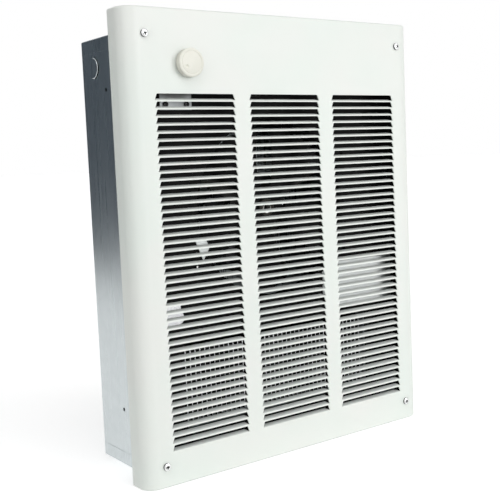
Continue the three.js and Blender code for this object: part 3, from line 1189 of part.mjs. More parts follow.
// The fan delay switch sits on the right end plate's tab, its cap through the tab towards the air.
const delaySwitch = new THREE.Group();
const delaySwitchX = rightEndPlateX + END_PLATE_SHEET + SEAT_GAP + DISC_FLANGE_THICKNESS;
delaySwitch.position.set(delaySwitchX, delaySwitchY, delaySwitchZ);
delaySwitch.rotation.z = -Math.PI / 2;
addPart('fan_delay_switch', discSwitch(), 'aluminium', delaySwitch);
heater.add(delaySwitch);

addPart('wiring_cover', wiringCover(), 'galvanised');
wiringScrewPlaces.forEach((place) => {
  addPart(place.name, hexScrew(place, panelFront - SEAT_GAP - WIRING_COVER_SHEET), 'screw_steel');
});
addPart('terminal_block', terminalBlock(), 'black_plastic');
addPart(groundScrewPlace.name, hexScrew(groundScrewPlace, panelFront), 'green_paint');

export default heater;
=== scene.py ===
# %% [markdown]
# # Dressing a louvred wall fan heater
# The heater's bodies come from the packed CAD model, which is a fixed frame: nothing in it moves or
# is reshaped. Each cell below either finishes a body that is good as it is, or makes a finer piece
# that stands for a body. We keep the size of the CAD model first.

# %% Load the frame
import json
import math

import bmesh
import bpy
from mathutils import Matrix, Vector


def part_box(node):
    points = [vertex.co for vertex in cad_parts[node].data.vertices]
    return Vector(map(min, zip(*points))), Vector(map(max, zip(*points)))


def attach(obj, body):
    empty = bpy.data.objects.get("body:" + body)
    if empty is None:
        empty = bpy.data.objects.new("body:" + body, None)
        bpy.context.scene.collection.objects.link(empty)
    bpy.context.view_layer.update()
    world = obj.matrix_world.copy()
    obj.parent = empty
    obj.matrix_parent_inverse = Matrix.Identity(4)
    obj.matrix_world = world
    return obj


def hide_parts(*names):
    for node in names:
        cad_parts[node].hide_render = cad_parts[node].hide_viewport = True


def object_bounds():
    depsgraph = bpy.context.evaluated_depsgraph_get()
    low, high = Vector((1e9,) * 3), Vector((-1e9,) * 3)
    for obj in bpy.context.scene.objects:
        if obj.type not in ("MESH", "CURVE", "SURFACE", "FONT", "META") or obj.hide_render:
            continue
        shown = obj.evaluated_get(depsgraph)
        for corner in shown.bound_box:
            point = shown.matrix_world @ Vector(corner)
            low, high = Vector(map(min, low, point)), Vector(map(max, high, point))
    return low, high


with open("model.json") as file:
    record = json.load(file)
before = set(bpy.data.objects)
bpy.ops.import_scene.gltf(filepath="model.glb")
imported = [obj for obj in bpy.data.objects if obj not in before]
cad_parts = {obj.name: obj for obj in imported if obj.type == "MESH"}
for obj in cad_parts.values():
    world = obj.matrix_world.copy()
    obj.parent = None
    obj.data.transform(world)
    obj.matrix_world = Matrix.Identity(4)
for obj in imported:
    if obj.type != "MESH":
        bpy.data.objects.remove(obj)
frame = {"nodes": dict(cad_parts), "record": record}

MM = 0.001
cad_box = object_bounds()
print("CAD box, mm:", [round(side / MM, 1) for side in cad_box[1] - cad_box[0]])

# %% [markdown]
# ## The camera
# A photograph of a box in perspective fixes its own camera: the edges that run away from us give the
# turn and the tilt, and how fast they close gives the lens. The heater was seen from its left, from
# just above its middle. We turn about the upright axis, then tilt, then roll a little.

# %% Place the camera
CAMERA_PLACE = (-0.62936, -0.92693, 0.10147)
CAMERA_TURN = -36.0512
CAMERA_TILT = 84.8645
CAMERA_ROLL = -2.4251
LENS_MM = 63.577
SENSOR_MM = 36.0
FRAME_SHIFT = (-0.0165, -0.0280)
NEAREST_SEEN = 0.01


def add_object(name, data):
    """Puts a new object with this data into the scene."""
    thing = bpy.data.objects.new(name, data)
    bpy.context.scene.collection.objects.link(thing)
    return thing


lens = bpy.data.cameras.new("portrait_lens")
lens.lens = LENS_MM
lens.sensor_width = SENSOR_MM
lens.shift_x, lens.shift_y = FRAME_SHIFT
lens.clip_start = NEAREST_SEEN
camera = add_object("portrait_camera", lens)
aim = (
    Matrix.Rotation(math.radians(CAMERA_TURN), 4, "Z")
    @ Matrix.Rotation(math.radians(CAMERA_TILT), 4, "X")
    @ Matrix.Rotation(math.radians(CAMERA_ROLL), 4, "Z")
)
camera.matrix_world = Matrix.Translation(CAMERA_PLACE) @ aim
bpy.context.scene.camera = camera
bpy.context.scene.view_settings.view_transform = "Standard"
print("camera is", round(Vector(CAMERA_PLACE).length, 3), "m from the wall box's back")

# %% [markdown]
# ## Finishes from nodes
# Every finish here is worked out from where a point sits on the piece, so it needs no pictures and
# looks the same from every side. Two small classes keep the recipes short. The first has the
# patterns: noise gives a number to each point, and a span sets what it runs from and to.

# %% Patterns and numbers
class Recipe:
    """Nodes that start from the place of each point on the piece."""

    def __init__(self, name, colour, roughness, metallic=0.0):
        self.material = bpy.data.materials.new(name)
        self.material.use_nodes = True
        self.tree = self.material.node_tree
        self.shader = self.tree.nodes["Principled BSDF"]
        self.shader.inputs["Base Color"].default_value = (*colour, 1.0)
        self.shader.inputs["Roughness"].default_value = roughness
        self.shader.inputs["Metallic"].default_value = metallic
        self.place = self.node("ShaderNodeTexCoord").outputs["Object"]
        self.relief = None

    def node(self, kind):
        return self.tree.nodes.new(kind)

    def join(self, output, socket):
        self.tree.links.new(output, socket)

    def stretched(self, x, y, z):
        """The place, with more or less of it along each axis."""
        stretch = self.node("ShaderNodeMapping")
        stretch.inputs["Scale"].default_value = (x, y, z)
        self.join(self.place, stretch.inputs["Vector"])
        return stretch.outputs["Vector"]

    def noise(self, size_mm, detail, place=None):
        """Soft noise whose blotches are about size_mm across."""
        noise = self.node("ShaderNodeTexNoise")
        noise.inputs["Scale"].default_value = 1.0 / (size_mm * MM)
        noise.inputs["Detail"].default_value = detail
        self.join(place or self.place, noise.inputs["Vector"])
        return noise.outputs["Fac"]

    def grains(self, size_mm):
        """Flat-faced grains, as zinc freezes in: one grey for each grain."""
        cells = self.node("ShaderNodeTexVoronoi")
        cells.inputs["Scale"].default_value = 1.0 / (size_mm * MM)
        self.join(self.place, cells.inputs["Vector"])
        grey = self.node("ShaderNodeSeparateColor")
        self.join(cells.outputs["Color"], grey.inputs["Color"])
        return grey.outputs["Red"]

    def span(self, value, low, high, start=0.3, stop=0.7):
        """A number that runs from low to high while value runs from start to stop."""
        span = self.node("ShaderNodeMapRange")
        span.inputs["From Min"].default_value = start
        span.inputs["From Max"].default_value = stop
        span.inputs["To Min"].default_value = low
        span.inputs["To Max"].default_value = high
        self.join(value, span.inputs["Value"])
        return span.outputs["Result"]

    def greater(self, first, second):
        greater = self.node("ShaderNodeMath")
        greater.operation = "MAXIMUM"
        self.join(first, greater.inputs[0])
        self.join(second, greater.inputs[1])
        return greater.outputs["Value"]


print("patterns ready: noise, stretched noise and grains")

# %% [markdown]
# A pattern becomes a finish when it is painted, roughened or embossed. Masks say where that shows:
# by which way the surface looks, or by how near it is to a place.

# %% Finishes
class Finish(Recipe):
    """A material of patterns, with masks that say where they show."""

    def mix(self, share, first, second):
        """A colour between two; each is three numbers or another node's colour."""
        mix = self.node("ShaderNodeMix")
        mix.data_type = "RGBA"
        self.join(share, mix.inputs["Factor"])
        for socket, colour in ((mix.inputs[6], first), (mix.inputs[7], second)):
            if isinstance(colour, tuple):
                socket.default_value = (*colour, 1.0)
            else:
                self.join(colour, socket)
        return mix.outputs[2]

    def looking(self, start, stop):
        """0 to 1 as the surface turns from start to stop: -1 looks into the room, 1 at the wall."""
        split = self.node("ShaderNodeSeparateXYZ")
        self.join(self.node("ShaderNodeNewGeometry").outputs["True Normal"], split.inputs["Vector"])
        return self.span(split.outputs["Y"], 0.0, 1.0, start, stop)

    def near(self, place_mm, inner_mm, outer_mm):
        """1 within inner_mm of a place on the piece, 0 beyond outer_mm."""
        away = self.node("ShaderNodeVectorMath")
        away.operation = "DISTANCE"
        self.join(self.place, away.inputs[0])
        away.inputs[1].default_value = [number * MM for number in place_mm]
        return self.span(away.outputs["Value"], 1.0, 0.0, inner_mm * MM, outer_mm * MM)

    def paint(self, colour):
        self.join(colour, self.shader.inputs["Base Color"])

    def roughen(self, value):
        self.join(value, self.shader.inputs["Roughness"])

    def emboss(self, height, depth_mm):
        """Adds relief that is depth_mm deep on top of what is there."""
        bump = self.node("ShaderNodeBump")
        bump.inputs["Distance"].default_value = depth_mm * MM
        self.join(height, bump.inputs["Height"])
        if self.relief:
            self.join(self.relief, bump.inputs["Normal"])
        self.relief = bump.outputs["Normal"]
        self.join(self.relief, self.shader.inputs["Normal"])


finishes = {}

# %% [markdown]
# ## White enamel
# The cover is sheet steel with a baked enamel: not quite white, a little green, and with a faint
# orange peel where the paint drew together as it cured. The peel is a few millimetres across and a
# few thousandths deep, so it only shows in the sheen. A slow drift in colour keeps it from flat.
# The louvres' tongues get the same enamel in a greyer colour, as painted shade for the shadow in
# the louvres, and the side that looks at the wall is barely covered: the way a face looks picks
# that coat.

# %% White enamel
ENAMEL = (0.804, 0.856, 0.808)
ENAMEL_WARM = (0.836, 0.856, 0.818)
# The louvre coat is painted shade: a greyer enamel for the tongues and the bottom edge's underside.
LOUVRE_SHADE_COAT = (0.690, 0.722, 0.694)
THIN_COAT = (0.22, 0.225, 0.22)
THIN_COAT_WORN = (0.16, 0.165, 0.165)
DRIFT_MM = 70
WEAR_MM = 25
GLOSS_MM = 18
PEEL_MM, PEEL_DEPTH = 2.6, 0.012
PORE_MM, PORE_DEPTH = 0.7, 0.004
WALL_SIDE = (0.05, 0.15)


def enamel_coat(name, colour, warm):
    enamel = Finish(name, colour, 0.36)
    outside = enamel.mix(enamel.span(enamel.noise(DRIFT_MM, 1.0), 0.0, 1.0), colour, warm)
    wear = enamel.span(enamel.noise(WEAR_MM, 3.0), 0.0, 1.0)
    inside = enamel.mix(wear, THIN_COAT, THIN_COAT_WORN)
    enamel.paint(enamel.mix(enamel.looking(*WALL_SIDE), outside, inside))
    enamel.roughen(enamel.span(enamel.noise(GLOSS_MM, 3.0), 0.32, 0.42))
    enamel.emboss(enamel.noise(PEEL_MM, 1.0), PEEL_DEPTH)
    enamel.emboss(enamel.noise(PORE_MM, 2.0), PORE_DEPTH)
    return enamel.material


finishes["white_enamel"] = enamel_coat("white_enamel", ENAMEL, ENAMEL_WARM)
louvre_shade_enamel = enamel_coat("louvre_shade_enamel", LOUVRE_SHADE_COAT, LOUVRE_SHADE_COAT)
print("enamel:", ENAMEL, "and, in the louvres,", LOUVRE_SHADE_COAT)

# %% [markdown]
# ## Galvanised sheet
# Zinc freezes on steel in flat grains, the spangle, that differ slightly in brightness and gloss.
# The coil also leaves fine lines along the rolling direction, here upright. The spangle is a
# Voronoi pattern, one grey to a grain, and the lines are noise that is stretched along the sheet.
# The works' brackets get the recipe in nearly black zinc, as painted shade for the dark inside.

# %% Galvanised, bright and painted-shade dark sheet
SPANGLE_MM = 9
LINES_MM, LINE_DEPTH = 1.6, 0.002
LINE_STRETCH = 0.012
BUCKLE_MM, BUCKLE_DEPTH = 60, 0.03


def zinc_sheet(name, dark, light, rough_low, rough_high, grain_mm=SPANGLE_MM):
    sheet = Finish(name, light, rough_low, metallic=1.0)
    grain = sheet.grains(grain_mm)
    lines = sheet.noise(LINES_MM, 3.0, sheet.stretched(1.0, 1.0, LINE_STRETCH))
    mottled = sheet.mix(sheet.span(grain, 0.0, 0.55, 0.0, 1.0), dark, light)
    sheet.paint(sheet.mix(sheet.span(lines, 0.0, 0.35), mottled, light))
    sheet.roughen(sheet.span(lines, rough_low, rough_high))
    sheet.emboss(lines, LINE_DEPTH)
    sheet.emboss(sheet.noise(BUCKLE_MM, 1.0), BUCKLE_DEPTH)
    return sheet.material


finishes["galvanised_steel"] = zinc_sheet(
    "galvanised_steel", (0.565, 0.61, 0.62), (0.62, 0.665, 0.675), 0.26, 0.34)
finishes["bright_zinc_sheet"] = zinc_sheet(
    "bright_zinc_sheet", (0.48, 0.505, 0.50), (0.57, 0.59, 0.58), 0.30, 0.42, 6)
shade_dark_zinc = zinc_sheet("shade_dark_zinc_sheet", (0.022, 0.022, 0.021), (0.034, 0.034, 0.032), 0.50, 0.62)
print("zinc sheets made, with a spangle of", SPANGLE_MM, "mm on the box")

# %% [markdown]
# ## Paints, bare metals and mouldings
# The rest sit behind the louvres or are small. Each family has one recipe that takes its own
# colours and grain: a baked paint, a bare metal with fine wear, and a moulded or fired body. A
# metal or a moulding may also have a touch: a second colour in one place, such as where it is
# rubbed bright or where dirt gathers.

# %% Recipes for paints, metals and mouldings
FADE_MM = 40
POLISH_MM = 9
PAINT_PEEL_MM = 1.8
METAL_BLOTCHES = {"size_mm": 12, "detail": 4.0, "most": 0.8}
MOULDING_BLOTCHES = {"size_mm": 14, "detail": 3.0, "most": 0.7}
MOULD_GLOSS_MM = 5


def baked_paint(name, colour, worn, roughness, sheen=0.5):
    paint = Finish(name, colour, roughness)
    paint.paint(paint.mix(paint.span(paint.noise(FADE_MM, 4.0), 0.0, 0.6), colour, worn))
    paint.roughen(paint.span(paint.noise(POLISH_MM, 3.0), roughness - 0.06, roughness + 0.08))
    paint.emboss(paint.noise(PAINT_PEEL_MM, 1.0), PEEL_DEPTH)
    paint.shader.inputs["Specular IOR Level"].default_value = sheen
    return paint.material


def paint_tone(body, colour, shade, touch, size_mm, detail, most):
    """Slow noise between two colours. touch takes the finish and gives a third and its place."""
    tone = body.mix(body.span(body.noise(size_mm, detail), 0.0, most), colour, shade)
    if touch:
        other, where = touch(body)
        tone = body.mix(where, tone, other)
    body.paint(tone)


def bare_metal(name, colour, stained, roughness, grain_mm=1.2, depth_mm=0.01, touch=None):
    metal = Finish(name, colour, roughness, metallic=1.0)
    paint_tone(metal, colour, stained, touch, **METAL_BLOTCHES)
    metal.roughen(metal.span(metal.noise(grain_mm, 3.0), roughness - 0.07, roughness + 0.1))
    metal.emboss(metal.noise(grain_mm, 2.0), depth_mm)
    return metal.material


def moulding(name, colour, shade, roughness, grain_mm=0.5, depth_mm=0.006, touch=None):
    body = Finish(name, colour, roughness)
    paint_tone(body, colour, shade, touch, **MOULDING_BLOTCHES)
    body.roughen(body.span(body.noise(MOULD_GLOSS_MM, 3.0), roughness - 0.05, roughness + 0.07))
    body.emboss(body.noise(grain_mm, 2.0), depth_mm)
    return body.material


print("recipes ready: paint, bare metal and moulding")

# %% [markdown]
# ## Finishes of the works
# The motor, the switches and the bearings are plain, so a row of numbers does for each: two
# colours, the roughness, and how wide and deep its grain is. The screws and the elements' plates
# are dark, with a painted highlight on the faces that look into the room. They aren't two pieces,
# so the finish asks which way each face looks and paints the bright colour only there.

# %% Finishes of the works
BLACK_PAINT, BLACK_WORN = (0.004, 0.004, 0.004), (0.008, 0.008, 0.008)
finishes["black_enamel"] = baked_paint("black_enamel", BLACK_PAINT, BLACK_WORN, 0.6, 0.12)
finishes["green_enamel"] = baked_paint("green_enamel", (0.05, 0.25, 0.08), (0.09, 0.30, 0.12), 0.35)
for slot, colour, stained, roughness, grain_mm, depth_mm in (
    ("motor_laminations", (0.12, 0.12, 0.13), (0.07, 0.06, 0.06), 0.42, 0.6, 0.02),
    ("cast_zinc", (0.46, 0.47, 0.49), (0.36, 0.37, 0.39), 0.50, 1.5, 0.03),
    ("sintered_bronze", (0.46, 0.29, 0.13), (0.30, 0.19, 0.10), 0.55, 0.4, 0.01),
    ("ground_steel", (0.60, 0.61, 0.62), (0.50, 0.50, 0.51), 0.18, 0.4, 0.003),
    ("copper", (0.62, 0.30, 0.17), (0.42, 0.20, 0.12), 0.30, 0.8, 0.006),
    ("switch_aluminium", (0.74, 0.75, 0.76), (0.62, 0.63, 0.64), 0.30, 1.0, 0.006),
):
    finishes[slot] = bare_metal(slot, colour, stained, roughness, grain_mm, depth_mm)


def painted_front_highlight(colour, start, stop):
    """A painted highlight: bright metal colour on the faces that look into the room."""
    return lambda metal: (colour, metal.looking(start, stop))


finishes["zinc_plated_steel"] = bare_metal(
    "zinc_plated_steel", (0.10, 0.10, 0.10), (0.07, 0.07, 0.07), 0.18, 1.0, 0.004,
    painted_front_highlight((0.66, 0.67, 0.67), -0.45, -0.75))
finishes["element_steel"] = bare_metal(
    "element_steel", (0.02, 0.02, 0.021), (0.012, 0.011, 0.010), 0.48, 1.2, 0.01,
    painted_front_highlight((0.88, 0.89, 0.90), -0.6, -0.9))
finishes["coil_tape"] = moulding("coil_tape", (0.035, 0.028, 0.022), (0.07, 0.055, 0.04), 0.6, 2.0, 0.1)
finishes["black_phenolic"] = moulding(
    "black_phenolic", (0.012, 0.012, 0.012), (0.022, 0.021, 0.02), 0.4)
finishes["white_ceramic"] = moulding("white_ceramic", (0.78, 0.75, 0.68), (0.70, 0.66, 0.58), 0.22)
print("finishes so far:", len(finishes))

# %% [markdown]
# ## Finishes of the fan and the knob
# Behind the louvres the fan and its hub are nearly black, as painted shade, with one painted
# highlight ring on the hub's front. The ring is what a larger ball around a place covers and a
# smaller one doesn't. The knob is cream plastic, darker in its sunk dot, and with painted shade on
# the skirt, which looks sideways.

# %% Finishes of the fan and the knob
HUB_GLINT = (0.2, -82.0, 39.7)
GLINT_INSIDE = (4.0, 4.4)
GLINT_OUTSIDE = (5.3, 5.8)
KNOB_DOT = (-134.7, -149.2, 198.4)
# The knob is darker in its sunk dot, and its sideways-looking skirt has painted shade.
DOT_DARK_REACH = (1.1, 2.1)
SKIRT_SHADE = 0.22


def painted_glint_ring(metal):
    """A painted highlight ring on the hub's front."""
    inside = metal.near(HUB_GLINT, *GLINT_INSIDE)
    rim = metal.mix(inside, metal.near(HUB_GLINT, *GLINT_OUTSIDE), (0.0, 0.0, 0.0))
    return (0.85, 0.84, 0.80), rim


def knob_dot_and_skirt_shade(body):
    """Darker in the sunk dot, and painted shade on the skirt, which looks sideways."""
    skirt = body.span(body.looking(-0.5, -0.1), 0.0, SKIRT_SHADE, 0.0, 1.0)
    return (0.20, 0.18, 0.14), body.greater(body.near(KNOB_DOT, *DOT_DARK_REACH), skirt)


# The hub is nearly black as painted shade, with a painted highlight ring.
finishes["hub_brass"] = bare_metal(
    "hub_brass", (0.030, 0.029, 0.026), (0.020, 0.019, 0.016), 0.34, 0.5, 0.004, painted_glint_ring)
# The fan's near-black aluminium is painted shade for the dark inside of the heater.
finishes["fan_aluminium"] = bare_metal(
    "fan_aluminium", (0.010, 0.010, 0.010), (0.007, 0.007, 0.007), 0.40, 1.5, 0.008)
finishes["cream_plastic"] = moulding(
    "cream_plastic", (0.835, 0.832, 0.752), (0.785, 0.78, 0.69), 0.34, 0.8, 0.006, knob_dot_and_skirt_shade)
print("finishes made:", sorted(finishes))

# %% [markdown]
# ## Finish every body that stays
# The record says which slot each body has, so one loop finishes them all. Bodies that a finer piece
# replaces later are finished too, which does no harm. A few bodies don't look like the rest of
# their slot. The motor's bracket and shaft and the bulb's clip are nearly black zinc, as painted
# shade; the thermostat's bracket is darker, most of all near its top, as painted shade; three of
# the motor bracket's screws are finished black, and the fourth is black with a painted highlight.
# A dictionary holds the finishes of these.

# %% Finish the CAD bodies
slot_of = {row["node"]: row["material_slot"] for row in frame["record"]["subparts"]}
# The thermostat's bracket is darker, and darkest near its top, as painted shade.
BRACKET_SHADE = (-130.0, -97.7, 192.0)
SHADE_REACH = (23.0, 29.0)
# The next place is a painted highlight: one bright spot on an otherwise black motor bracket screw.
SCREW_HIGHLIGHT = (-111.7, -98.7, -17.7)
HIGHLIGHT_REACH = (0.8, 1.5)
bracket_painted_shade = bare_metal(
    "bracket_painted_shade", (0.31, 0.325, 0.325), (0.25, 0.265, 0.27), 0.42, 5.0, 0.01,
    lambda metal: ((0.16, 0.165, 0.16), metal.near(BRACKET_SHADE, *SHADE_REACH)))
screw_painted_highlight = bare_metal(
    "screw_painted_highlight", (0.010, 0.010, 0.010), (0.008, 0.008, 0.008), 0.45, 1.0, 0.004,
    lambda metal: ((0.80, 0.80, 0.79), metal.near(SCREW_HIGHLIGHT, *HIGHLIGHT_REACH)))
own_finish = {
    "thermostat_bracket": bracket_painted_shade,
    # Nearly black zinc on these three is painted shade for the dark inside of the heater.
    "motor_bracket": shade_dark_zinc,
    "bulb_clip": shade_dark_zinc,
    "motor_shaft": shade_dark_zinc,
    "motor_bracket_screw_lower_left": screw_painted_highlight,
}
for place in ("upper_left", "upper_right", "lower_right"):
    own_finish["motor_bracket_screw_" + place] = finishes["black_enamel"]
for node, body in frame["nodes"].items():
    for holder in body.material_slots:
        holder.material = own_finish.get(node, finishes[slot_of[node]])
print("bodies finished:", len(slot_of), "of which", len(own_finish), "have a finish of their own")

# %% [markdown]
# ## Helpers for making pieces
# Pieces are drawn in millimetres as bmesh geometry, scaled to metres, and hung on the body that
# they move with. A sheet is drawn as its outer skin, and the Solidify modifier gives it thickness,
# just as a press gives a flat blank its folds without making it any thinner.

# %% Make and settle a piece
FOLD_SHARP = 30


def box_mm(node):
    """A CAD body's low and high corner, in millimetres."""
    return [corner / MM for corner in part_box(node)]


def mesh_from(name, shape):
    mesh = bpy.data.meshes.new(name)
    shape.to_mesh(mesh)
    shape.free()
    return mesh


def thicken(piece, thickness):
    """Gives an open skin its thickness, inwards from the drawn side."""
    sheet = piece.modifiers.new("sheet", "SOLIDIFY")
    sheet.thickness = thickness
    sheet.offset = -1.0
    sheet.use_even_offset = True


def settle(piece, sharp_degrees):
    """Turns the piece's modifiers into plain mesh and shades it smooth between its sharp edges."""
    graph = bpy.context.evaluated_depsgraph_get()
    mesh = bpy.data.meshes.new_from_object(piece.evaluated_get(graph))
    piece.modifiers.clear()
    piece.data = mesh
    mesh.shade_smooth()
    mesh.set_sharp_from_angle(angle=math.radians(sharp_degrees))


def make_piece(name, shape, slot, body="root", replaces=(), sheet_mm=0.0,
               sharp_degrees=FOLD_SHARP, finish=None):
    """A piece from a bmesh in millimetres. sheet_mm thickens an open skin inwards."""
    bmesh.ops.scale(shape, vec=(MM, MM, MM), verts=shape.verts)
    piece = add_object(name, mesh_from(name, shape))
    piece.data.materials.append(finish or finishes[slot])
    if sheet_mm:
        thicken(piece, sheet_mm * MM)
    settle(piece, sharp_degrees)
    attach(piece, body)
    if replaces:
        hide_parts(*replaces)
    print(name, "has", len(piece.data.polygons), "faces")
    return piece


low, high = box_mm("front_cover")
print("the CAD cover measures", [round(side) for side in high - low], "mm")

# %% [markdown]
# Screws, the knob, the hub and a switch are round. On a lathe they would be turned from an outline,
# and we do the same: an outline of radius and depth is repeated round the axis, and the rings are
# joined with faces. A point on the axis is made once, and its neighbours share it.

# %% Turned shapes and arcs
def add_turned(shape, outline, x, z, sides=48):
    """Turns (radius, y) points about an axis along Y through x, z. Returns the new points."""
    rings = []
    for radius, y in outline:
        if radius == 0:
            rings.append([shape.verts.new((x, y, z))])
            continue
        rings.append([
            shape.verts.new((x + radius * math.cos(a), y, z + radius * math.sin(a)))
            for a in (2 * math.pi * k / sides for k in range(sides))
        ])
    for ring, after in zip(rings, rings[1:]):
        for k in range(sides):
            corners = [ring[k % len(ring)], ring[(k + 1) % len(ring)],
                       after[(k + 1) % len(after)], after[k % len(after)]]
            shape.faces.new(list(dict.fromkeys(corners)))
    return [point for ring in rings for point in ring]


def arc(middle, radius, first_degrees, last_degrees, steps):
    """Points along an arc in a plane, first and last included."""
    return [
        (middle[0] + radius * math.cos(a), middle[1] + radius * math.sin(a))
        for a in (math.radians(first_degrees + (last_degrees - first_degrees) * k / steps)
                  for k in range(steps + 1))
    ]


print("a quarter turn of 18 mm ends at", [round(number, 3) for number in arc((0, 0), 18, 0, 90, 4)[-1]])

# %% [markdown]
# Folded sheet is drawn face by face. A skin remembers each point by its place, so that faces that
# meet there share it, and the sheet stays one sheet when it is thickened.

# %% Sheets drawn face by face
class Skin:
    """An open sheet drawn face by face. Faces that meet at a place share the point there."""

    def __init__(self):
        self.shape = bmesh.new()
        self.points = {}

    def point(self, place):
        key = tuple(round(number, 3) for number in place)
        if key not in self.points:
            self.points[key] = self.shape.verts.new(place)
        return self.points[key]

    def face(self, *places):
        self.shape.faces.new([self.point(place) for place in places])

    def fill(self, normal, *loops):
        """A flat field inside the first loop of places and outside the other loops."""
        edges = []
        for loop in loops:
            points = [self.point(place) for place in loop]
            for first, second in zip(points, points[1:] + points[:1]):
                edge = self.shape.edges.get((first, second))
                edges.append(edge or self.shape.edges.new((first, second)))
        bmesh.ops.triangle_fill(
            self.shape, edges=edges, use_beauty=True, use_dissolve=False, normal=normal)

    def turn_out(self, away):
        """Makes the side that faces away the outer side of the sheet, everywhere."""
        bmesh.ops.recalc_face_normals(self.shape, faces=self.shape.faces)
        if sum(face.normal.dot(away) * face.calc_area() for face in self.shape.faces) < 0:
            bmesh.ops.reverse_faces(self.shape, faces=self.shape.faces)
        return self.shape


print("a skin is ready to draw:", Skin.__doc__)

# %% [markdown]
# ## The louvred front
# The cover is one sheet: a flat face with 138 louvres, two sides rolled round a large radius, and a
# turned edge along the top and the bottom. A boolean would cut the slots but leave the tongues with
# knife-sharp roots. We draw the skin strip by strip instead, so each tongue grows out of its slot's
# lower edge round a small bend, and then give the whole skin its thickness at once.

# %% Sizes of the front
cover_low, cover_high = box_mm("front_cover")
FACE_Y = cover_low.y
RIM_Y = cover_high.y
HALF_WIDTH = cover_high.x
COVER_TOP = cover_high.z
COVER_BOTTOM = cover_low.z
COVER_SHEET = 1.2
ROLL_RADIUS = 18.0
FLAT_REACH = HALF_WIDTH - ROLL_RADIUS
EDGE_RADIUS = 2.6
print("front, mm:", round(HALF_WIDTH * 2, 1), "by", round(COVER_TOP - COVER_BOTTOM, 1))

# %% [markdown]
# ### One louvre
# A press cuts each slot along its top and its ends and bends the freed tongue in and up. The same
# shapes are drawn here: a slot's end leans in and has a round upper corner, and the tongue follows
# a path round the bend to its tip, growing narrower just as the slot does.

# %% Slots and tongues
LOUVRE_PITCH = 8.27
TOP_LOUVRE = 164.75
SLOT_HALF = 50.8
SLOT_HEIGHT = 5.9
SLOT_SLANT = 2.8
SLOT_CORNER = 1.5
SLOT_CORNER_STEPS = 4
TONGUE_BEND = 1.3
TONGUE_DEPTH = 6.6
TONGUE_TIP_RISE = 1.1
TONGUE_DEGREES = 68.0
BEND_BELOW_SLOT = 1.74
TONGUE_STEPS = 4
front = Skin()


def on_face(x, z):
    return (x, FACE_Y, z)


def slot_side(x, z_low, z_high, way):
    """The slot's end from its lower corner round to its upper edge; way is -1 at the left."""
    lean = math.degrees(math.atan2(z_high - z_low, SLOT_SLANT))
    top_x = x + way * (SLOT_HALF - SLOT_SLANT)
    reach = SLOT_CORNER * math.tan(math.radians(lean) / 2)
    middle = (top_x - way * reach, z_high - SLOT_CORNER)
    turn = 90 - lean
    ends = (turn, 90) if way > 0 else (180 - turn, 90)
    return [(x + way * SLOT_HALF, z_low)] + arc(middle, SLOT_CORNER, *ends, SLOT_CORNER_STEPS)


def draw_tongue(x, z_low, depth):
    """The tongue: round the bend from the slot's lower edge, then straight to its tip."""
    path = [
        (FACE_Y + TONGUE_BEND * (1 - math.cos(a)), z_low + TONGUE_BEND * math.sin(a))
        for a in (math.radians(TONGUE_DEGREES) * k / TONGUE_STEPS for k in range(TONGUE_STEPS + 1))
    ]
    path.append((FACE_Y + depth, z_low + BEND_BELOW_SLOT + TONGUE_TIP_RISE))
    lengths = [0.0]
    for (y0, z0), (y1, z1) in zip(path, path[1:]):
        lengths.append(lengths[-1] + math.hypot(y1 - y0, z1 - z0))
    halves = [SLOT_HALF - SLOT_SLANT * length / lengths[-1] for length in lengths]
    for k in range(len(path) - 1):
        (y0, z0), (y1, z1) = path[k], path[k + 1]
        front.face((x - halves[k], y0, z0), (x + halves[k], y0, z0),
                   (x + halves[k + 1], y1, z1), (x - halves[k + 1], y1, z1))


def slot_levels(row):
    """The height of the row's bend line and of its slot's upper edge."""
    root = TOP_LOUVRE - row * LOUVRE_PITCH
    return root - BEND_BELOW_SLOT, root + SLOT_HEIGHT


print("a tongue reaches", TONGUE_DEPTH, "mm in and narrows by", SLOT_SLANT, "mm at each end")

# %% [markdown]
# ### All the louvres
# The face is laid out in strips: one through each row of slots and one below it. Points at the same
# place are shared, so the strips and the tongues grow into a single sheet.

# %% Draw the louvres
LOUVRE_COLUMNS = (-120.0, 0.0, 120.0)
LOUVRE_ROWS = 46
COLUMN_REACH = 60.0
SHALLOW_TONGUE_DEPTH = 4.5
SHALLOW_ROWS = 2
upper_xs = {
    x: [slot_side(x, *slot_levels(0), way)[-1][0] for way in (-1, 1)]
    for x in LOUVRE_COLUMNS
}
lower_xs = {x: [x - SLOT_HALF, x + SLOT_HALF] for x in LOUVRE_COLUMNS}


def draw_margins(z_low, z_high):
    """The plain strips to the left and right of the columns."""
    for way in (-1, 1):
        x0, x1 = sorted((way * COLUMN_REACH * 3, way * FLAT_REACH))
        front.face(*(on_face(*c) for c in ((x0, z_low), (x1, z_low), (x1, z_high), (x0, z_high))))


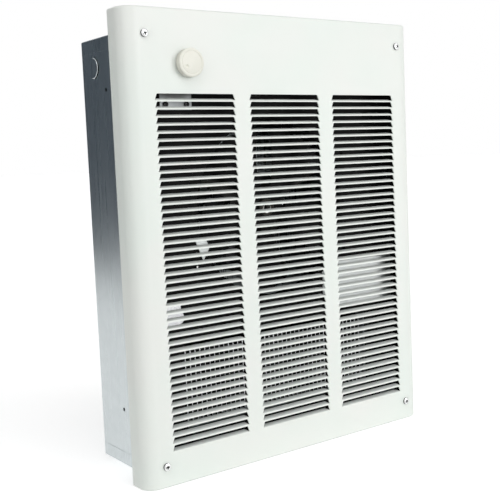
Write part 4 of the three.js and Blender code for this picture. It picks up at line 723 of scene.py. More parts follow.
for row in range(LOUVRE_ROWS):
    z_low, z_high = slot_levels(row)
    draw_margins(z_low, z_high)
    for x in LOUVRE_COLUMNS:
        x0, x1 = x - COLUMN_REACH, x + COLUMN_REACH
        left = [on_face(*c) for c in slot_side(x, z_low, z_high, -1)]
        right = [on_face(*c) for c in slot_side(x, z_low, z_high, 1)]
        front.face(on_face(x0, z_low), *left, on_face(x0, z_high))
        front.face(*right[::-1], on_face(x1, z_low), on_face(x1, z_high))
        shallow = row < SHALLOW_ROWS and x == LOUVRE_COLUMNS[0]
        draw_tongue(x, z_low, SHALLOW_TONGUE_DEPTH if shallow else TONGUE_DEPTH)
    if row + 1 < LOUVRE_ROWS:
        below = slot_levels(row + 1)[1]
        draw_margins(below, z_low)
        for x in LOUVRE_COLUMNS:
            lows = (x - COLUMN_REACH, *upper_xs[x], x + COLUMN_REACH)
            highs = (x - COLUMN_REACH, *lower_xs[x], x + COLUMN_REACH)
            for k in range(3):
                front.face(on_face(lows[k], below), on_face(lows[k + 1], below),
                           on_face(highs[k + 1], z_low), on_face(highs[k], z_low))
print("louvres drawn:", LOUVRE_ROWS * len(LOUVRE_COLUMNS))

# %% [markdown]
# The plain fields above and below the louvres carry the holes for the knob's stem and the screws. A
# triangle fill between an outline and its holes is the quickest way to a clean flat field.

# %% The plain fields and their holes
HOLE_SIDES = 24
KNOB_X, KNOB_Z = -128.5, 202.5
STEM_HOLE_RADIUS = 7.0
SCREW_HOLE_RADIUS = 2.3
UPPER_SCREWS = ((-179.0, 231.5), (179.0, 231.5))
LOWER_SCREWS = ((-179.0, -222.5), (179.0, -222.5))


def circle(middle, radius, sides=HOLE_SIDES):
    return arc(middle, radius, 0, 360 - 360 / sides, sides - 1)


def plain_field(z_louvres, corners_x, z_edge, holes):
    """The flat field between the louvres' corners and the cover's edge, less its holes."""
    outline = [(-FLAT_REACH, z_louvres), (-3 * COLUMN_REACH, z_louvres)]
    for x in LOUVRE_COLUMNS:
        outline += [(end, z_louvres) for end in (*corners_x[x], x + COLUMN_REACH)]
    outline += [(FLAT_REACH, z_louvres), (FLAT_REACH, z_edge), (-FLAT_REACH, z_edge)]
    rings = [circle((x, z), radius) for x, z, radius in holes]
    front.fill((0, -1, 0), *([on_face(*place) for place in loop] for loop in (outline, *rings)))


plain_field(slot_levels(0)[1], upper_xs, COVER_TOP - EDGE_RADIUS,
            [(KNOB_X, KNOB_Z, STEM_HOLE_RADIUS)] + [(x, z, SCREW_HOLE_RADIUS) for x, z in UPPER_SCREWS])
plain_field(slot_levels(LOUVRE_ROWS - 1)[0], lower_xs, COVER_BOTTOM + EDGE_RADIUS,
            [(x, z, SCREW_HOLE_RADIUS) for x, z in LOWER_SCREWS])
print("plain fields filled, with", 1 + len(UPPER_SCREWS + LOWER_SCREWS), "holes")

# %% [markdown]
# ### Rolled sides
# The sides roll back to the wall round a large radius and turn in at the rim. The roll is swept up
# the cover's height, stopping at each height where the face has a point, so the two stay joined.

# %% Rolled sides
ROLL_STEPS = 12
RETURN_REACH = 188.3
CLOSE = 0.01
levels = sorted({place[2] for place in front.points
                 if abs(place[0] + FLAT_REACH) < CLOSE and abs(place[1] - FACE_Y) < CLOSE})
roll_middle = (-FLAT_REACH, FACE_Y + ROLL_RADIUS)
left_roll = [(-HALF_WIDTH, RIM_Y)] + arc(roll_middle, ROLL_RADIUS, 180, 270, ROLL_STEPS)
for way in (-1, 1):
    roll = [(-way * x, y) for x, y in [(-RETURN_REACH, RIM_Y)] + left_roll]
    for (xa, ya), (xb, yb) in zip(roll, roll[1:]):
        for low, high in zip(levels, levels[1:]):
            front.face((xa, ya, low), (xb, yb, low), (xb, yb, high), (xa, ya, high))
print("the sides are rolled in", ROLL_STEPS, "steps and", len(levels) - 1, "strips")

# %% [markdown]
# ### Turned edges
# The top and bottom edges turn in round a smaller bend that follows the roll at the corners. Each
# point of the cover's outline moves inwards along its own normal, and the flange behind the bend
# grows from narrow at the rim to wide along the face.

# %% Turned edges
EDGE_STEPS = 5
FACE_FLANGE = 14.0
SIDE_FLANGE = 4.0
outline = []
for k, (x, y) in enumerate(left_roll):
    turn = math.radians(90 * max(0, k - 1) / ROLL_STEPS)
    share = max(0, k - 1) / ROLL_STEPS
    flange = SIDE_FLANGE + (FACE_FLANGE - SIDE_FLANGE) * share ** 2
    outline.append((x, y, -math.cos(turn), -math.sin(turn), flange))
outline += [(-x, y, -nx, ny, flange) for x, y, nx, ny, flange in outline[::-1]]


def edge_rings(z_edge, up):
    """For each point of the outline, its path round the edge bend and along the flange."""
    rings = []
    for x, y, nx, ny, flange in outline:
        path = []
        for k in range(EDGE_STEPS + 1):
            a = math.radians(90 * k / EDGE_STEPS)
            inward = EDGE_RADIUS * (1 - math.cos(a))
            rise = z_edge - up * EDGE_RADIUS * (1 - math.sin(a))
            path.append((x - nx * inward, y - ny * inward, rise))
        path.append((x - nx * flange, y - ny * flange, z_edge))
        rings.append(path)
    return rings


for z_edge, up in ((COVER_TOP, 1), (COVER_BOTTOM, -1)):
    rings = edge_rings(z_edge, up)
    for ring, after in zip(rings, rings[1:]):
        for k in range(len(ring) - 1):
            front.face(ring[k], after[k], after[k + 1], ring[k + 1])
print("edges turned in round", EDGE_RADIUS, "mm")

# %% [markdown]
# ### One sheet with three coats
# The skin becomes one piece here. White enamel covers it, but the tongues' upper sides and the
# bottom edge's underside get the greyer enamel as painted shade, and the room side of the turned
# rim is black as painted shade for the dark gap behind a real cover. A mesh may hold several
# materials, and each face picks one by its number.

# %% Make the front
cover = make_piece(
    "louvred_front", front.turn_out(Vector((0, -1, 0))), "white_enamel",
    replaces=("front_cover",), sheet_mm=COVER_SHEET)
WHITE_COAT, SHADE_BLACK_COAT, SHADED_LOUVRE_FACE = range(3)
for coat in (finishes["black_enamel"], louvre_shade_enamel):
    cover.data.materials.append(coat)
SLACK = 0.1
TOWARDS = 0.5
UNDERSIDE = -0.6


def coat_of(face):
    """The coat of a face of the front, from where it is and which way it looks."""
    x, depth, height = face.center / MM
    reach = abs(x)
    on_return = RETURN_REACH - SLACK < reach < HALF_WIDTH - COVER_SHEET - SLACK
    # The room side of the return flange is black as painted shade for the dark gap behind the cover.
    if on_return and face.normal.y < TOWARDS:
        return SHADE_BLACK_COAT if depth > RIM_Y - COVER_SHEET - SLACK else WHITE_COAT
    # Tongues' upper sides and the bottom edge's underside get the greyer enamel as painted shade.
    on_tongue = reach < FLAT_REACH and FACE_Y + COVER_SHEET < depth < FACE_Y + TONGUE_DEPTH
    if on_tongue and face.normal.z > TOWARDS:
        return SHADED_LOUVRE_FACE
    below_bend = height < COVER_BOTTOM + EDGE_RADIUS and face.normal.z < UNDERSIDE
    return SHADED_LOUVRE_FACE if below_bend else WHITE_COAT


for face in cover.data.polygons:
    face.material_index = coat_of(face)
coats = [face.material_index for face in cover.data.polygons]
print("faces with each coat:", [coats.count(coat) for coat in range(3)])

# %% [markdown]
# ## The wall box
# The tray behind the front is folded from three pieces of galvanised sheet: a wrap that makes both
# sides and the back, and a pan at each end whose front edge turns down as a flange and whose ends
# fold over the sides. Folding leaves round corners, and a half-punched knockout stands a little
# proud, so both are drawn here, while the CAD box has square corners and a flush slug.

# %% The wrap: sides and back
box_low, box_high = box_mm("back_box")
BOX_HALF = box_high.x
BOX_TOP = box_high.z
BOX_FRONT = box_low.y
BOX_SHEET = 1.2
BOX_BEND = 2.4
BOX_BEND_STEPS = 6
WRAP_PLAY = 0.05
NAIL_HOLES = ((-56.0, 180.0), (-56.0, -172.5))
NAIL_HOLE_RADIUS = 2.2
KNOCKOUT = (-30.0, 205.5)
KNOCKOUT_RADIUS = 11.8
KNOCKOUT_SIDES = 48
SLUG_RADIUS = 11.2
SLUG_STAND = 1.5
SLUG_BEVEL = 0.4


def draw_wrap():
    """Left side, back and right side, with the nail holes and the knockouts."""
    wrap = Skin()
    reach = BOX_TOP - BOX_SHEET - WRAP_PLAY
    bend = arc((-BOX_HALF + BOX_BEND, -BOX_BEND), BOX_BEND, 180, 90, BOX_BEND_STEPS)
    path = bend + [(-x, y) for x, y in bend[::-1]]
    for (xa, ya), (xb, yb) in zip(path, path[1:]):
        wrap.face((xa, ya, -reach), (xb, yb, -reach), (xb, yb, reach), (xa, ya, reach))
    for way in (-1, 1):
        x = way * BOX_HALF
        outline = [(x, BOX_FRONT, -reach), (x, -BOX_BEND, -reach),
                   (x, -BOX_BEND, reach), (x, BOX_FRONT, reach)]
        holes = [[(x, *place) for place in circle(middle, NAIL_HOLE_RADIUS)] for middle in NAIL_HOLES]
        rim = [(x, *place) for place in circle(KNOCKOUT, KNOCKOUT_RADIUS, KNOCKOUT_SIDES)]
        wrap.fill((way, 0, 0), outline, *holes, rim)
        edge = [(x + way * (SLUG_STAND - SLUG_BEVEL), *place)
                for place in circle(KNOCKOUT, SLUG_RADIUS, KNOCKOUT_SIDES)]
        top = [(x + way * SLUG_STAND, *place)
               for place in circle(KNOCKOUT, SLUG_RADIUS - SLUG_BEVEL, KNOCKOUT_SIDES)]
        wrap.face(*top)
        for k in range(KNOCKOUT_SIDES):
            j = (k + 1) % KNOCKOUT_SIDES
            wrap.face(edge[k], edge[j], top[j], top[k])
            # Two ties, at the top and the bottom, hold the slug.
            if k % (KNOCKOUT_SIDES // 2) in (KNOCKOUT_SIDES // 4 - 1, KNOCKOUT_SIDES // 4):
                wrap.face(rim[k], rim[j], edge[j], edge[k])
    return wrap.turn_out(Vector((0, 1, 0)))


print("the wrap is", BOX_SHEET, "mm sheet, with knockouts", 2 * SLUG_RADIUS, "mm across")

# %% [markdown]
# ### The end pans
# One pan closes the top and one the bottom. Its front flange has a hole for every screw of the
# front and of the fan panel, put where the CAD model has the screw, and the tabs that fold over the
# sides have cut corners, as real ones do so that they don't catch.

# %% An end pan
BOX_FLANGE = 21.2
FLANGE_HOLE = 2.5
TAB_DROP = 15.5
TAB_CUT = 5.0
TAB_STAND = 0.2
TAB_GAP = 0.6
PAN_BACK = -0.4
fold_turns = [math.radians(90 * k / BOX_BEND_STEPS) for k in range(BOX_BEND_STEPS + 1)]


def draw_pan(up):
    """The end pan: its wall, the flange along the front and a tab over each side."""
    pan = Skin()
    z = up * BOX_TOP
    edge_x = BOX_HALF + TAB_STAND
    inner_x = edge_x - BOX_BEND
    front_y = BOX_FRONT + BOX_BEND
    tab_y = -BOX_BEND - TAB_GAP
    bend = [(front_y - BOX_BEND * math.sin(a), z - up * BOX_BEND * (1 - math.cos(a)))
            for a in fold_turns]
    for (ya, za), (yb, zb) in zip(bend, bend[1:]):
        pan.face((-inner_x, ya, za), (inner_x, ya, za), (inner_x, yb, zb), (-inner_x, yb, zb))
    flange_z = z - up * BOX_FLANGE
    flange = [(-inner_x, BOX_FRONT, bend[-1][1]), (inner_x, BOX_FRONT, bend[-1][1]),
              (inner_x, BOX_FRONT, flange_z), (-inner_x, BOX_FRONT, flange_z)]
    holes = []
    for screw in ("cover_screw_", "panel_screw_"):
        for side in ("left", "right"):
            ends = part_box(screw + ("upper_" if up > 0 else "lower_") + side)
            middle = (ends[0] + ends[1]) / 2 / MM
            ring = circle((middle.x, middle.z), FLANGE_HOLE)
            holes.append([(px, BOX_FRONT, pz) for px, pz in ring])
    pan.fill((0, -1, 0), flange, *holes)
    pan.face(*((px, py, z) for px, py in (
        (-inner_x, front_y), (inner_x, front_y), (inner_x, tab_y), (inner_x, PAN_BACK),
        (-inner_x, PAN_BACK), (-inner_x, tab_y))))
    for way in (-1, 1):
        fold = [(way * (inner_x + BOX_BEND * math.sin(a)), z - up * BOX_BEND * (1 - math.cos(a)))
                for a in fold_turns]
        for (xa, za), (xb, zb) in zip(fold, fold[1:]):
            pan.face((xa, front_y, za), (xa, tab_y, za), (xb, tab_y, zb), (xb, front_y, zb))
        tip = z - up * TAB_DROP
        pan.face(*((way * edge_x, y, pz) for y, pz in (
            (front_y, fold[-1][1]), (tab_y, fold[-1][1]), (tab_y, tip + up * TAB_CUT),
            (tab_y - TAB_CUT, tip), (front_y + TAB_CUT, tip), (front_y, tip + up * TAB_CUT))))
    return pan.turn_out(Vector((0, 0, up)))


print("a pan has a flange of", BOX_FLANGE, "mm and tabs of", TAB_DROP, "mm")

# %% [markdown]
# ### Join the box
# Each of the three sheets is thickened by itself, since Solidify needs one open skin at a time, and
# then they are gathered into one piece that stands for the CAD box.

# %% Join the box
wall_box = bmesh.new()
for part in (draw_wrap(), draw_pan(1), draw_pan(-1)):
    blank = add_object("blank", mesh_from("blank", part))
    thicken(blank, BOX_SHEET)
    settle(blank, FOLD_SHARP)
    wall_box.from_mesh(blank.data)
    bpy.data.objects.remove(blank)
make_piece("folded_wall_box", wall_box, "galvanised_steel", replaces=("back_box",))

# %% [markdown]
# ## Cover screws
# Four pan head screws hold the cover, and two smaller ones the thermostat. A punch drives a cross
# into each head. We make the punch too: a cross with sides that close towards its tip, which a
# boolean takes out of the turned head. The boolean also carries the punch's dark finish over to
# the walls of the recess, as painted shade there.

# %% The cross punch
RECESS_REACH = 2.4
RECESS_HALF = 0.7
RECESS_DEPTH = 1.7
PUNCH_ABOVE = 0.6
MOUTH_SHARE, TIP_SHARE = 1.15, 0.35
SQUARE = ((-1, -1), (1, -1), (1, 1), (-1, 1))
# The recess's dark metal is painted shade.
recess_painted_shade = bare_metal("screw_recess_painted_shade", (0.06, 0.06, 0.055), (0.03, 0.03, 0.03), 0.6)


def cross_punch(x, y, z, turn_degrees):
    """A wedge-sided cross to take out of a screw head whose top is at y."""
    punch = bmesh.new()
    for quarter in (0, 90):
        a = math.radians(turn_degrees + quarter)
        along = Vector((math.cos(a), 0, math.sin(a)))
        across = Vector((-math.sin(a), 0, math.cos(a)))
        middle = Vector((x, y, z))
        corners = []
        for depth, share in ((-PUNCH_ABOVE, MOUTH_SHARE), (RECESS_DEPTH, TIP_SHARE)):
            for s, t in SQUARE:
                spot = middle + along * (s * RECESS_REACH * share) + across * (t * RECESS_HALF)
                corners.append(punch.verts.new(spot + Vector((0, depth, 0))))
        punch.faces.new(corners[3::-1])
        punch.faces.new(corners[4:])
        for k in range(4):
            j = (k + 1) % 4
            punch.faces.new((corners[k], corners[j], corners[4 + j], corners[4 + k]))
    bmesh.ops.recalc_face_normals(punch, faces=punch.faces)
    bmesh.ops.scale(punch, vec=(MM, MM, MM), verts=punch.verts)
    tool = add_object("cross_punch", mesh_from("cross_punch", punch))
    tool.data.materials.append(recess_painted_shade)
    return tool


print("the punch is", 2 * RECESS_REACH, "mm across and goes", RECESS_DEPTH, "mm deep")

# %% [markdown]
# ### Pan head screws
# A head is turned from a short outline: a crown that falls off like part of a ball, a rim, and a
# shank with a blunt end. The small screws are the same screw made smaller, so only the radius is
# given. The heads are turned to different angles, since nobody lines them up.

# %% Pan head screws
HEAD_RADIUS = 4.2
HEAD_HEIGHT = 2.4
SMALL_HEAD_RADIUS = 3.0
SHANK_RADIUS = 1.95
CROWN_SHARES = (0.15, 0.3, 0.45, 0.6, 0.72, 0.82, 0.9, 0.96)
CROWN_ROUND, CROWN_FALL = 0.93, 0.6
RIM_START = 0.46
TIP_LENGTH, TIP_WIDTH = 1.0, 0.5
SCREW_SIDES = 40
SCREW_SHARP = 35


def pan_head_screw(name, node, turn_degrees, radius=HEAD_RADIUS, finish=None):
    low, high = box_mm(node)
    x, z = (low.x + high.x) / 2, (low.z + high.z) / 2
    tall = HEAD_HEIGHT * radius / HEAD_RADIUS
    neck = SHANK_RADIUS * radius / HEAD_RADIUS
    seat = low.y + tall
    crown = [(0.0, low.y)] + [
        (radius * share, low.y + tall * (1 - math.sqrt(1 - (share * CROWN_ROUND) ** 2)) * CROWN_FALL)
        for share in CROWN_SHARES
    ]
    rim = [(radius, low.y + tall * RIM_START), (radius, seat)]
    shank = [(neck, seat), (neck, high.y - TIP_LENGTH), (neck * TIP_WIDTH, high.y), (0.0, high.y)]
    shape = bmesh.new()
    add_turned(shape, crown + rim + shank, x, z, sides=SCREW_SIDES)
    bmesh.ops.recalc_face_normals(shape, faces=shape.faces)
    screw = make_piece(name, shape, "zinc_plated_steel", replaces=(node,),
                       sharp_degrees=SCREW_SHARP, finish=finish)
    punch = cross_punch(x, low.y, z, turn_degrees)
    recess = screw.modifiers.new("recess", "BOOLEAN")
    recess.operation = "DIFFERENCE"
    recess.object = punch
    recess.solver = "EXACT"
    recess.use_self = True
    recess.material_mode = "TRANSFER"
    settle(screw, SCREW_SHARP)
    bpy.data.objects.remove(punch)


dark_screw = bare_metal("dark_screw_steel", (0.10, 0.10, 0.105), (0.06, 0.06, 0.06), 0.22)
for place, turn in (("upper_left", 20), ("upper_right", 62), ("lower_left", 5), ("lower_right", 38)):
    pan_head_screw("front_screw_" + place, "cover_screw_" + place, turn)
for place, turn in (("left", 50), ("right", 15)):
    pan_head_screw("bracket_screw_" + place, "thermostat_bracket_screw_" + place, turn,
                   SMALL_HEAD_RADIUS, dark_screw)

# %% [markdown]
# ## The thermostat knob
# A turned cream moulding: a straight skirt, a bevel and a face that crowns less than a millimetre,
# with one small sunk dot as the pointer. We turn the outline with many rings across the face, and
# push the points near the dot inwards, so the dimple belongs to the surface.

# %% Knob
knob_low, knob_high = box_mm("thermostat_knob")
KNOB_RADIUS = 15.1
KNOB_DOME = 0.9
KNOB_BEVEL = 0.7
KNOB_RING = 3.2
KNOB_GROOVE, GROOVE_WIDTH = 0.28, 0.5
KNOB_WALL = 2.0
KNOB_BOSS = 5.5
KNOB_BORE, BORE_DEPTH = 3.2, 5.2
CREST_IN, CREST_RISE = 1.0, 0.1
EDGE_EASE, EDGE_FALL = 0.5, 0.15
FOOT_EASE = 0.3
RING_STEP = 0.35
KNOB_SIDES = 128
KNOB_SHARP = 40
DOT_OFFSET = 7.43
DOT_DEGREES = 213.5
DOT_RADIUS = 1.6
DOT_DEPTH = 1.1
knob_front, knob_back = knob_low.y, knob_high.y
rim_y = knob_front + KNOB_DOME
face_edge = KNOB_RADIUS - KNOB_RING
groove_edge = face_edge + GROOVE_WIDTH
inside = KNOB_RADIUS - KNOB_WALL
face_rings = [0.0] + [RING_STEP * k for k in range(1, int(face_edge / RING_STEP))]
knob_outline = [(r, knob_front + KNOB_DOME * (r / face_edge) ** 2) for r in face_rings]
knob_outline += [
    (face_edge, rim_y + KNOB_GROOVE), (groove_edge, rim_y + KNOB_GROOVE), (groove_edge, rim_y),
    (face_edge + CREST_IN, rim_y - CREST_RISE), (KNOB_RADIUS - EDGE_EASE, rim_y + EDGE_FALL),
    (KNOB_RADIUS, rim_y + KNOB_BEVEL), (KNOB_RADIUS, knob_back - EDGE_EASE),
    (KNOB_RADIUS - FOOT_EASE, knob_back), (inside, knob_back), (inside, rim_y + KNOB_WALL),
    (KNOB_BOSS, rim_y + KNOB_WALL), (KNOB_BOSS, knob_back), (KNOB_BORE, knob_back),
    (KNOB_BORE, knob_back - BORE_DEPTH), (0.0, knob_back - BORE_DEPTH),
]
knob_shape = bmesh.new()
knob_points = add_turned(knob_shape, knob_outline, KNOB_X, KNOB_Z, sides=KNOB_SIDES)
dot_x = KNOB_X + DOT_OFFSET * math.cos(math.radians(DOT_DEGREES))
dot_z = KNOB_Z + DOT_OFFSET * math.sin(math.radians(DOT_DEGREES))
for spot in knob_points:
    away = math.hypot(spot.co.x - dot_x, spot.co.z - dot_z) / DOT_RADIUS
    if away < 1 and spot.co.y < rim_y:
        spot.co.y += DOT_DEPTH * math.sqrt(1 - away * away)
bmesh.ops.recalc_face_normals(knob_shape, faces=knob_shape.faces)
make_piece("dial_knob", knob_shape, "cream_plastic", "knob", ("thermostat_knob",),
           sharp_degrees=KNOB_SHARP)

# %% [markdown]
# ## A pale lug beside the fan
# Between the louvres at the lower left of the fan the photograph shows the point of a small pale
# plate that lies on the black panel. No more of it can be seen, so it is made as a plain flat lug.

# %% Lug on the fan panel
LUG_SHEET = 1.0
panel_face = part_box("fan_panel")[0].y / MM
lug = Skin()
lug.fill((0, -1, 0), [(x, panel_face - LUG_SHEET, z) for x, z in (
    (-112.4, 12.6), (-102.4, -11.8), (-94.0, 1.8), (-98.0, 12.1))])
make_piece("panel_lug", lug.turn_out(Vector((0, -1, 0))), "bright_zinc_sheet", sheet_mm=LUG_SHEET)

# %% [markdown]
# ## The overheat switch
# A disc switch looks through the panel at the air, and its pale flange is screwed to the panel's
# face. The flange runs on to the left, behind the plain edge of the front, and has one cut corner.
# The switch itself is a plain body turned behind it. Both stand for the one body of the CAD model.

# %% Overheat switch
FLANGE_SHEET = 1.0
switch_low, switch_high = box_mm("limit_switch")
switch_x = (switch_low.x + switch_high.x) / 2
switch_z = (switch_low.z + switch_high.z) / 2
SWITCH_RADIUS = 8.0
SWITCH_PROUD = 0.1
FRONT_CHAMFER = 0.8
BACK_CHAMFER = 0.6
flange = Skin()
flange.fill((0, -1, 0), [(x, panel_face - FLANGE_SHEET, z) for x, z in (
    (-172.0, -79.3), (-139.6, -80.6), (-134.5, -76.0), (-135.3, -55.0), (-172.0, -51.5))])
make_piece(
    "switch_flange", flange.turn_out(Vector((0, -1, 0))), slot_of["limit_switch"],
    replaces=("limit_switch",), sheet_mm=FLANGE_SHEET)
switch_shape = bmesh.new()
add_turned(switch_shape, [
    (0.0, panel_face - SWITCH_PROUD),
    (SWITCH_RADIUS - FRONT_CHAMFER, panel_face - SWITCH_PROUD),
    (SWITCH_RADIUS, panel_face - SWITCH_PROUD + FRONT_CHAMFER),
    (SWITCH_RADIUS, switch_high.y - BACK_CHAMFER),
    (SWITCH_RADIUS - BACK_CHAMFER, switch_high.y), (0.0, switch_high.y),
], switch_x, switch_z)
bmesh.ops.recalc_face_normals(switch_shape, faces=switch_shape.faces)
make_piece("switch_body", switch_shape, slot_of["limit_switch"])

# %% [markdown]
# ## Finned heating elements
# Each element is a sheathed rod bent into a hairpin, with steel plates pressed onto both legs. A
# plate is a thin rounded rectangle, drawn here from four small arcs. Each leans by a hair, as
# pressed plates do, and a sine of its number gives the lean, so it is the same on every run.

# %% A plate of the elements
FIN_COUNT = 41
FIN_PITCH = 6.55
FIN_PAST_BODY = 0.9
FIRST_FIN_X = -128.0
FIN_THICKNESS = 0.7
FIN_CORNER = 1.0
CORNER_STEPS = 4
FIN_LEAN, LEAN_STEP = 0.006, 2.4


def add_fin(shape, x, y0, y1, z0, z1, lean):
    corners = []
    for (y, z), first in (((y1, z1), 0), ((y0, z1), 90), ((y0, z0), 180), ((y1, z0), 270)):
        inner = (y + (FIN_CORNER if y == y0 else -FIN_CORNER),
                 z + (FIN_CORNER if z == z0 else -FIN_CORNER))
        corners += arc(inner, FIN_CORNER, first, first + 90, CORNER_STEPS)
    middle_z = (z0 + z1) / 2
    rings = [
        [shape.verts.new((x + side * FIN_THICKNESS + lean * (z - middle_z), y, z)) for y, z in corners]
        for side in (0, 1)
    ]
    shape.faces.new(rings[0][::-1])
    shape.faces.new(rings[1])
    for k in range(len(corners)):
        j = (k + 1) % len(corners)
        shape.faces.new((rings[0][k], rings[0][j], rings[1][j], rings[1][k]))


print("a plate is", FIN_THICKNESS, "mm thick, and the next one stands", FIN_PITCH, "mm on")

# %% [markdown]
# ### The rods
# The rod is a ring of points carried along a path: straight in, round the bend, and straight out.
# The ring turns with the path, so the rod stays as thick in the bend as on its legs.

# %% The rods and both elements
ROD_RADIUS = 4.0
ROD_SPACING = 22.0
ROD_SIDES = 20
HAIRPIN_STEPS = 16


def add_hairpin(shape, y, z, bend_x, end_x):
    half = ROD_SPACING / 2
    path = [(end_x, z + half, 90.0)]
    path += [(bend_x + half * math.cos(math.radians(a)), z + half * math.sin(math.radians(a)), a)
             for a in (90 + 180 * k / HAIRPIN_STEPS for k in range(HAIRPIN_STEPS + 1))]
    path.append((end_x, z - half, 270.0))
    rings = []
    for px, pz, turn in path:
        t = math.radians(turn)
        ring = []
        for k in range(ROD_SIDES):
            a = 2 * math.pi * k / ROD_SIDES
            out = ROD_RADIUS * math.cos(a)
            spot = (px + out * math.cos(t), y + ROD_RADIUS * math.sin(a), pz + out * math.sin(t))
            ring.append(shape.verts.new(spot))
        rings.append(ring)
    for ring, after in zip(rings, rings[1:]):
        for k in range(ROD_SIDES):
            j = (k + 1) % ROD_SIDES
            shape.faces.new((ring[k], ring[j], after[j], after[k]))
    shape.faces.new(rings[0])
    shape.faces.new(rings[-1][::-1])


for level in ("upper", "lower"):
    node = level + "_heating_element"
    low, high = box_mm(node)
    middle_y, middle_z = (low.y + high.y) / 2, (low.z + high.z) / 2
    fin_low = low.z - (FIN_PAST_BODY if level == "upper" else 0.0)
    fin_high = high.z + (FIN_PAST_BODY if level == "lower" else 0.0)
    shape = bmesh.new()
    for k in range(FIN_COUNT):
        lean = FIN_LEAN * math.sin(k * LEAN_STEP + middle_z)
        add_fin(shape, FIRST_FIN_X + k * FIN_PITCH, low.y, high.y, fin_low, fin_high, lean)
    add_hairpin(shape, middle_y, middle_z, low.x + ROD_SPACING / 2 + ROD_RADIUS, high.x)
    bmesh.ops.recalc_face_normals(shape, faces=shape.faces)
    make_piece("finned_" + level + "_element", shape, "element_steel", replaces=(node,))

# %% [markdown]
# ## The fan
# Five twisted aluminium blades on a flat spider, riveted to a brass hub. A blade is a grid of points
# in polar form: the further out, the wider and the steeper it is, with a little camber and rounded
# corners at the tip.

# %% Fan wheel
FAN_Z = 41.0
FAN_RADIUS = 98.0
FAN_SHEET = 1.2
FAN_MIDDLE_Y = -79.0
FAN_DEPTH = 23.0
SPIDER_RADIUS = 25.0
HUB_BORE = 11.15
BLADES = 5
FIRST_BLADE = 197.0
SPIDER_PROUD = 0.05
SPIDER_SIDES = 60
ROOT_RADIUS = SPIDER_RADIUS - 3.0
ROOT_HALF, TIP_HALF = math.radians(17), math.radians(27)
ROOT_PITCH = 0.35
TIP_ROUND, ROUND_FROM = 0.16, 0.6
CAMBER = 2.2
SPANS, CHORDS = 14, 16


def blade_skin(shape, middle_degrees):
    tip_pitch = math.atan2(FAN_DEPTH / 2 - FAN_SHEET, FAN_RADIUS * TIP_HALF)
    grid = []
    for i in range(SPANS + 1):
        share = i / SPANS
        radius = ROOT_RADIUS + (FAN_RADIUS - ROOT_RADIUS) * share
        half = ROOT_HALF + (TIP_HALF - ROOT_HALF) * share
        line = []
        for j in range(CHORDS + 1):
            across = 2 * j / CHORDS - 1
            reach = radius * (1 - max(0.0, share - ROUND_FROM) * TIP_ROUND * across * across)
            a = math.radians(middle_degrees) + half * across
            pitch = math.tan(tip_pitch) * (ROOT_PITCH + (1 - ROOT_PITCH) * share)
            lift = pitch * reach * half * across
            camber = CAMBER * share * (1 - across * across)
            y = FAN_MIDDLE_Y - FAN_SHEET / 2 + lift - camber
            line.append(shape.verts.new((reach * math.cos(a), y, FAN_Z + reach * math.sin(a))))
        grid.append(line)
    for low_line, high_line in zip(grid, grid[1:]):
        for j in range(CHORDS):
            shape.faces.new((low_line[j], low_line[j + 1], high_line[j + 1], high_line[j]))


fan_shape = bmesh.new()
for k in range(BLADES):
    blade_skin(fan_shape, FIRST_BLADE + 360 * k / BLADES)
spider_front = FAN_MIDDLE_Y - FAN_SHEET / 2 - SPIDER_PROUD
spider_outline = [(HUB_BORE, spider_front), (SPIDER_RADIUS, spider_front)]
add_turned(fan_shape, spider_outline, 0.0, FAN_Z, sides=SPIDER_SIDES)
bmesh.ops.recalc_face_normals(fan_shape, faces=fan_shape.faces)
for face in fan_shape.faces:
    if face.normal.y > 0:
        face.normal_flip()
make_piece("five_blade_fan", fan_shape, "fan_aluminium", "fan", ("fan_wheel",), sheet_mm=FAN_SHEET)

# %% [markdown]
# ### The hub
# The wheel is riveted to a brass collet that grips the motor's shaft. It is turned: a sleeve whose
# front rim catches the light, and a flange behind the spider.

# %% Fan hub
hub_low, hub_high = box_mm("fan_hub")
SHAFT_BORE = 3.15
BORE_CHAMFER, CHAMFER_WIDTH = 0.6, 0.5
HUB_RADIUS = 11.0
HUB_CHAMFER = 0.8
HUB_STEP = 1.0
HUB_FLANGE = 16.0
FLANGE_PLAY, FLANGE_DEEP = 0.15, 2.0
flange_front = FAN_MIDDLE_Y + FAN_SHEET / 2 + FLANGE_PLAY
flange_back = flange_front + FLANGE_DEEP
hub_shape = bmesh.new()
add_turned(hub_shape, [
    (SHAFT_BORE, hub_low.y + BORE_CHAMFER), (SHAFT_BORE + CHAMFER_WIDTH, hub_low.y),
    (HUB_RADIUS - HUB_CHAMFER, hub_low.y), (HUB_RADIUS, hub_low.y + HUB_CHAMFER),
    (HUB_RADIUS, flange_front), (HUB_FLANGE, flange_front), (HUB_FLANGE, flange_back),
    (HUB_RADIUS - HUB_STEP, flange_back), (HUB_RADIUS - HUB_STEP, hub_high.y),
    (SHAFT_BORE, hub_high.y), (SHAFT_BORE, hub_low.y + BORE_CHAMFER),
], 0.0, FAN_Z)
bmesh.ops.recalc_face_normals(hub_shape, faces=hub_shape.faces)
make_piece("fan_collet", hub_shape, "hub_brass", "fan", ("fan_hub",))

# %% [markdown]
# ## Studio
# The floor is pale and wide. It and the world look white to the camera and in reflections, but
# send out far less light than that: a light path node tells the rays that look from the rays that
# carry light, so the background can be bright and the shadows still soft.

# %% Floor
FLOOR_Z = cad_box[0].z
FLOOR_REACH = 30.0
FLOOR_DROP = 0.0002
FLOOR_GLOW = 0.56
WHITE = (1.0, 1.0, 1.0, 1.0)


def flat_sheet(name, corners, finish):
    mesh = bpy.data.meshes.new(name)
    mesh.from_pydata(corners, [], [(0, 1, 2, 3)])
    mesh.materials.append(finish.material)
    return add_object(name, mesh)


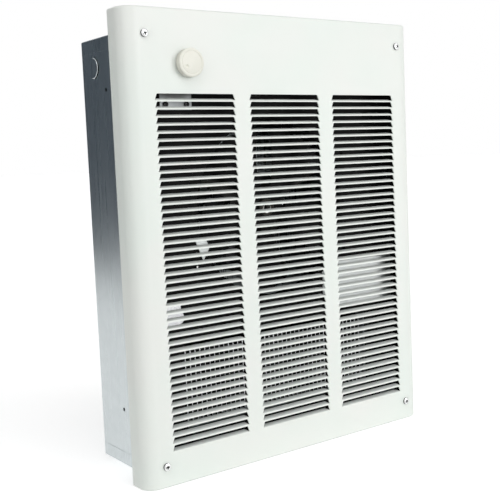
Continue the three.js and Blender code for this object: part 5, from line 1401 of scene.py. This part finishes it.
def looking_rays(tree):
    """1 for rays of the camera, of reflections and through glass, 0 for those that carry light."""
    path = tree.nodes.new("ShaderNodeLightPath")
    shown = path.outputs["Is Camera Ray"]
    for kind in ("Is Glossy Ray", "Is Transmission Ray"):
        either = tree.nodes.new("ShaderNodeMath")
        either.operation = "MAXIMUM"
        tree.links.new(shown, either.inputs[0])
        tree.links.new(path.outputs[kind], either.inputs[1])
        shown = either.outputs["Value"]
    return shown


paper = Finish("floor_paper", (0.90, 0.90, 0.90), 0.9)
paper.shader.inputs["Specular IOR Level"].default_value = 0.0
paper.roughen(paper.span(paper.noise(300, 2.0), 0.85, 0.95))
paper.shader.inputs["Emission Color"].default_value = WHITE
glow = paper.span(looking_rays(paper.tree), 0.0, FLOOR_GLOW, 0.0, 1.0)
paper.join(glow, paper.shader.inputs["Emission Strength"])
studio_floor = flat_sheet(
    "studio_floor",
    [(x * FLOOR_REACH, y * FLOOR_REACH, FLOOR_Z - FLOOR_DROP) for x, y in SQUARE], paper)
print("floor at", round(FLOOR_Z, 4))

# %% [markdown]
# ### Lamps
# Three broad sun lamps light the heater softly: a key from the front right, a wide fill from the
# left and a weaker lamp from above. A sun lights all of the cover alike, so a soft box at the right
# front, close enough to fade over half a metre, makes the cover's right lighter than its left.

# %% Lamps
def sun(name, towards, strength, angle_degrees):
    """A broad lamp in the direction towards, as seen from the heater."""
    lamp = bpy.data.lights.new(name, "SUN")
    lamp.energy = strength
    lamp.angle = math.radians(angle_degrees)
    holder = add_object(name, lamp)
    holder.rotation_euler = Vector(towards).to_track_quat("Z", "Y").to_euler()


sun("key_lamp", (0.42, -0.86, 0.22), 1.35, 45)
sun("fill_lamp", (-0.91, -0.40, 0.10), 1.70, 90)
sun("top_lamp", (-0.05, -0.50, 0.86), 0.55, 30)

SOFT_BOX_WATTS = 0.70
SOFT_BOX_SIZE = 0.6
SOFT_BOX_PLACE = (0.55, -0.75, -0.05)
SOFT_BOX_AIM = Vector((0.1, -0.13, -0.05))
box_light = bpy.data.lights.new("soft_box", "AREA")
box_light.energy = SOFT_BOX_WATTS
box_light.size = SOFT_BOX_SIZE
soft_box = add_object("soft_box", box_light)
soft_box.location = SOFT_BOX_PLACE
soft_box.rotation_euler = (soft_box.location - SOFT_BOX_AIM).to_track_quat("Z", "Y").to_euler()
print("lamps:", [lamp.name for lamp in bpy.data.lights])

# %% [markdown]
# ### The air around
# The world lights the shadows evenly. It is one background whose strength runs from a low level
# for light to full white for the rays that look, by the same switch as the floor's.

# %% World
AMBIENT = 0.20
world = bpy.data.worlds.new("studio_air")
bpy.context.scene.world = world
world.use_nodes = True
air = world.node_tree
backdrop = air.nodes["Background"]
backdrop.inputs["Color"].default_value = WHITE
level = air.nodes.new("ShaderNodeMapRange")
level.inputs["To Min"].default_value = AMBIENT
level.inputs["To Max"].default_value = 1.0
air.links.new(looking_rays(air), level.inputs["Value"])
air.links.new(level.outputs["Result"], backdrop.inputs["Strength"])
print("the world gives", AMBIENT, "of white as light")

# %% [markdown]
# ### Dark cards
# Bare metal shows what it reflects, so photographers stand dark cards around it to draw its shape.
# Two cards do so here, one behind the heater and one at its left, seen in reflections only. They
# give the box's side its dark upper half, which fades to bright lower down.

# %% Dark cards for the reflections
felt = Finish("card_felt", (0.09, 0.11, 0.135), 0.95)
felt.shader.inputs["Specular IOR Level"].default_value = 0.0
felt.roughen(felt.span(felt.noise(20, 2.0), 0.9, 1.0))


def dark_card(name, middle, half_width, half_height):
    """An upright card that faces the heater and is seen in reflections only."""
    middle = Vector(middle)
    along = Vector((-middle.y, middle.x, 0.0)).normalized() * half_width
    up = Vector((0.0, 0.0, half_height))
    card = flat_sheet(name, [middle + along * s + up * t for s, t in SQUARE], felt)
    for seen_by in ("visible_camera", "visible_diffuse", "visible_transmission", "visible_shadow"):
        setattr(card, seen_by, False)
    print(name, "stands", round(middle.length, 2), "m away")


dark_card("card_behind", (-1.15, 1.35, 0.69), 1.6, 0.92)
dark_card("card_at_left", (-2.2, -0.40, 0.30), 0.50, 1.2)

# %% [markdown]
# ## Finish
# The finer pieces must not make the heater bigger.
